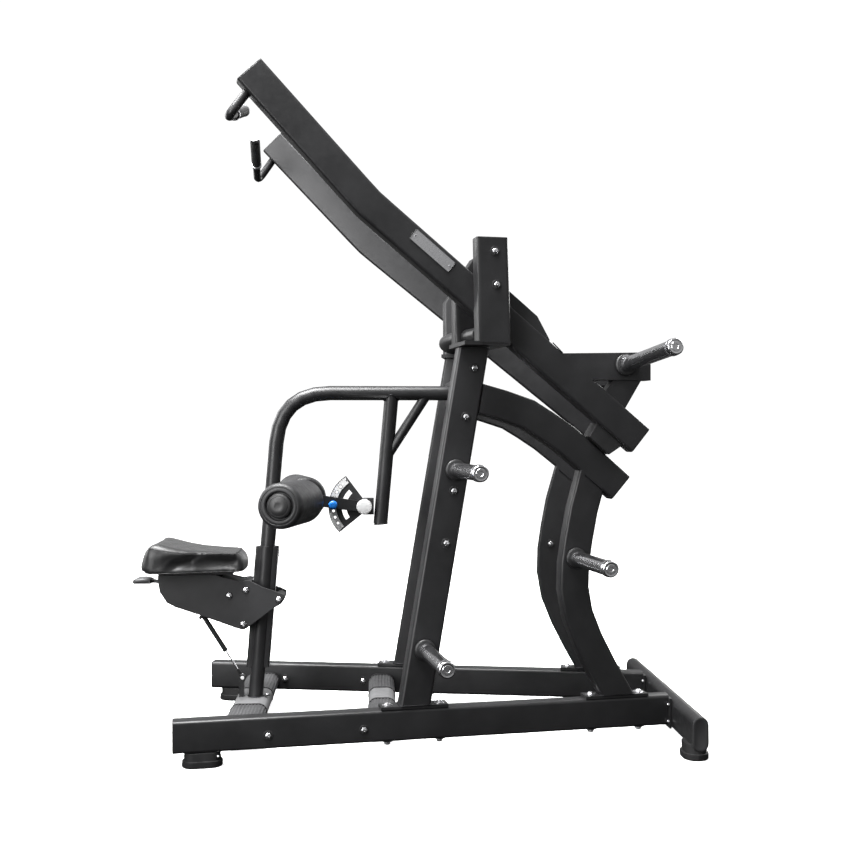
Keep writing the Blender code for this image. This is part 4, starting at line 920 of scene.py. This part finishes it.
world = bpy.data.worlds.new("studio")
bpy.context.scene.world = world
world.use_nodes = True
tree = world.node_tree
tree.nodes.clear()
out = tree.nodes.new("ShaderNodeOutputWorld")
mix = tree.nodes.new("ShaderNodeMixShader")
seen, lit = tree.nodes.new("ShaderNodeBackground"), tree.nodes.new("ShaderNodeBackground")
path = tree.nodes.new("ShaderNodeLightPath")
seen.inputs["Color"].default_value, seen.inputs["Strength"].default_value = (1, 1, 1, 1), 1.05
sky, height, shade = tree.nodes.new("ShaderNodeTexCoord"), tree.nodes.new("ShaderNodeSeparateXYZ"), tree.nodes.new("ShaderNodeValToRGB")
lift = tree.nodes.new("ShaderNodeMapRange")
lift.inputs["From Min"].default_value, lift.inputs["From Max"].default_value = -1.0, 1.0
shade.color_ramp.elements[0].position, shade.color_ramp.elements[0].color = 0.30, (0.02, 0.02, 0.02, 1)
shade.color_ramp.elements[1].position, shade.color_ramp.elements[1].color = 1.0, (0.62, 0.62, 0.62, 1)
middle = shade.color_ramp.elements.new(0.55)
middle.color = (0.26, 0.26, 0.26, 1)
tree.links.new(sky.outputs["Generated"], height.inputs["Vector"])
tree.links.new(height.outputs["Z"], lift.inputs["Value"])
tree.links.new(lift.outputs["Result"], shade.inputs["Fac"])
tree.links.new(shade.outputs["Color"], lit.inputs["Color"])
lit.inputs["Strength"].default_value = 1.0
tree.links.new(path.outputs["Is Camera Ray"], mix.inputs["Fac"])
tree.links.new(lit.outputs["Background"], mix.inputs[1])
tree.links.new(seen.outputs["Background"], mix.inputs[2])
tree.links.new(mix.outputs["Shader"], out.inputs["Surface"])


def softbox(name, at, aim, wide, high, power):
    data = bpy.data.lights.new(name, "AREA")
    data.shape, data.size, data.size_y, data.energy = "RECTANGLE", wide, high, power
    obj = bpy.data.objects.new(name, data)
    obj.location = at
    obj.rotation_mode = "QUATERNION"
    obj.rotation_quaternion = (Vector(aim) - Vector(at)).to_track_quat("-Z", "Y")
    bpy.context.scene.collection.objects.link(obj)


softbox("key_front", (4.0, -3.4, 2.0), (0.0, -0.1, 1.0), 2.2, 3.2, 240)
softbox("top", (0.7, -1.3, 4.8), (0.0, 0.0, 1.0), 3.2, 2.2, 900)
softbox("fill_front_left", (-3.0, -4.0, 2.6), (0.0, 0.0, 1.0), 2.6, 2.6, 120)
softbox("rim_rear", (-3.4, 3.2, 3.0), (0.0, 0.2, 1.0), 2.4, 2.4, 120)

camera = bpy.data.cameras.new("camera")
camera.lens, camera.sensor_width = 1131 / 860 * 36, 36
camera.clip_start, camera.clip_end = 0.05, 200
eye = bpy.data.objects.new("camera", camera)
bpy.context.scene.collection.objects.link(eye)
yaw = 0.0502
ahead, right = Vector((-math.cos(yaw), math.sin(yaw), 0)), Vector((math.sin(yaw), math.cos(yaw), 0))
turn = Matrix((right, Vector((0, 0, 1)), -ahead)).transposed()
eye.matrix_world = Matrix.Translation((3.93419, -0.11485, 1.03)) @ turn.to_4x4()
bpy.context.scene.camera = eye
bpy.context.scene.view_settings.view_transform = "Standard"
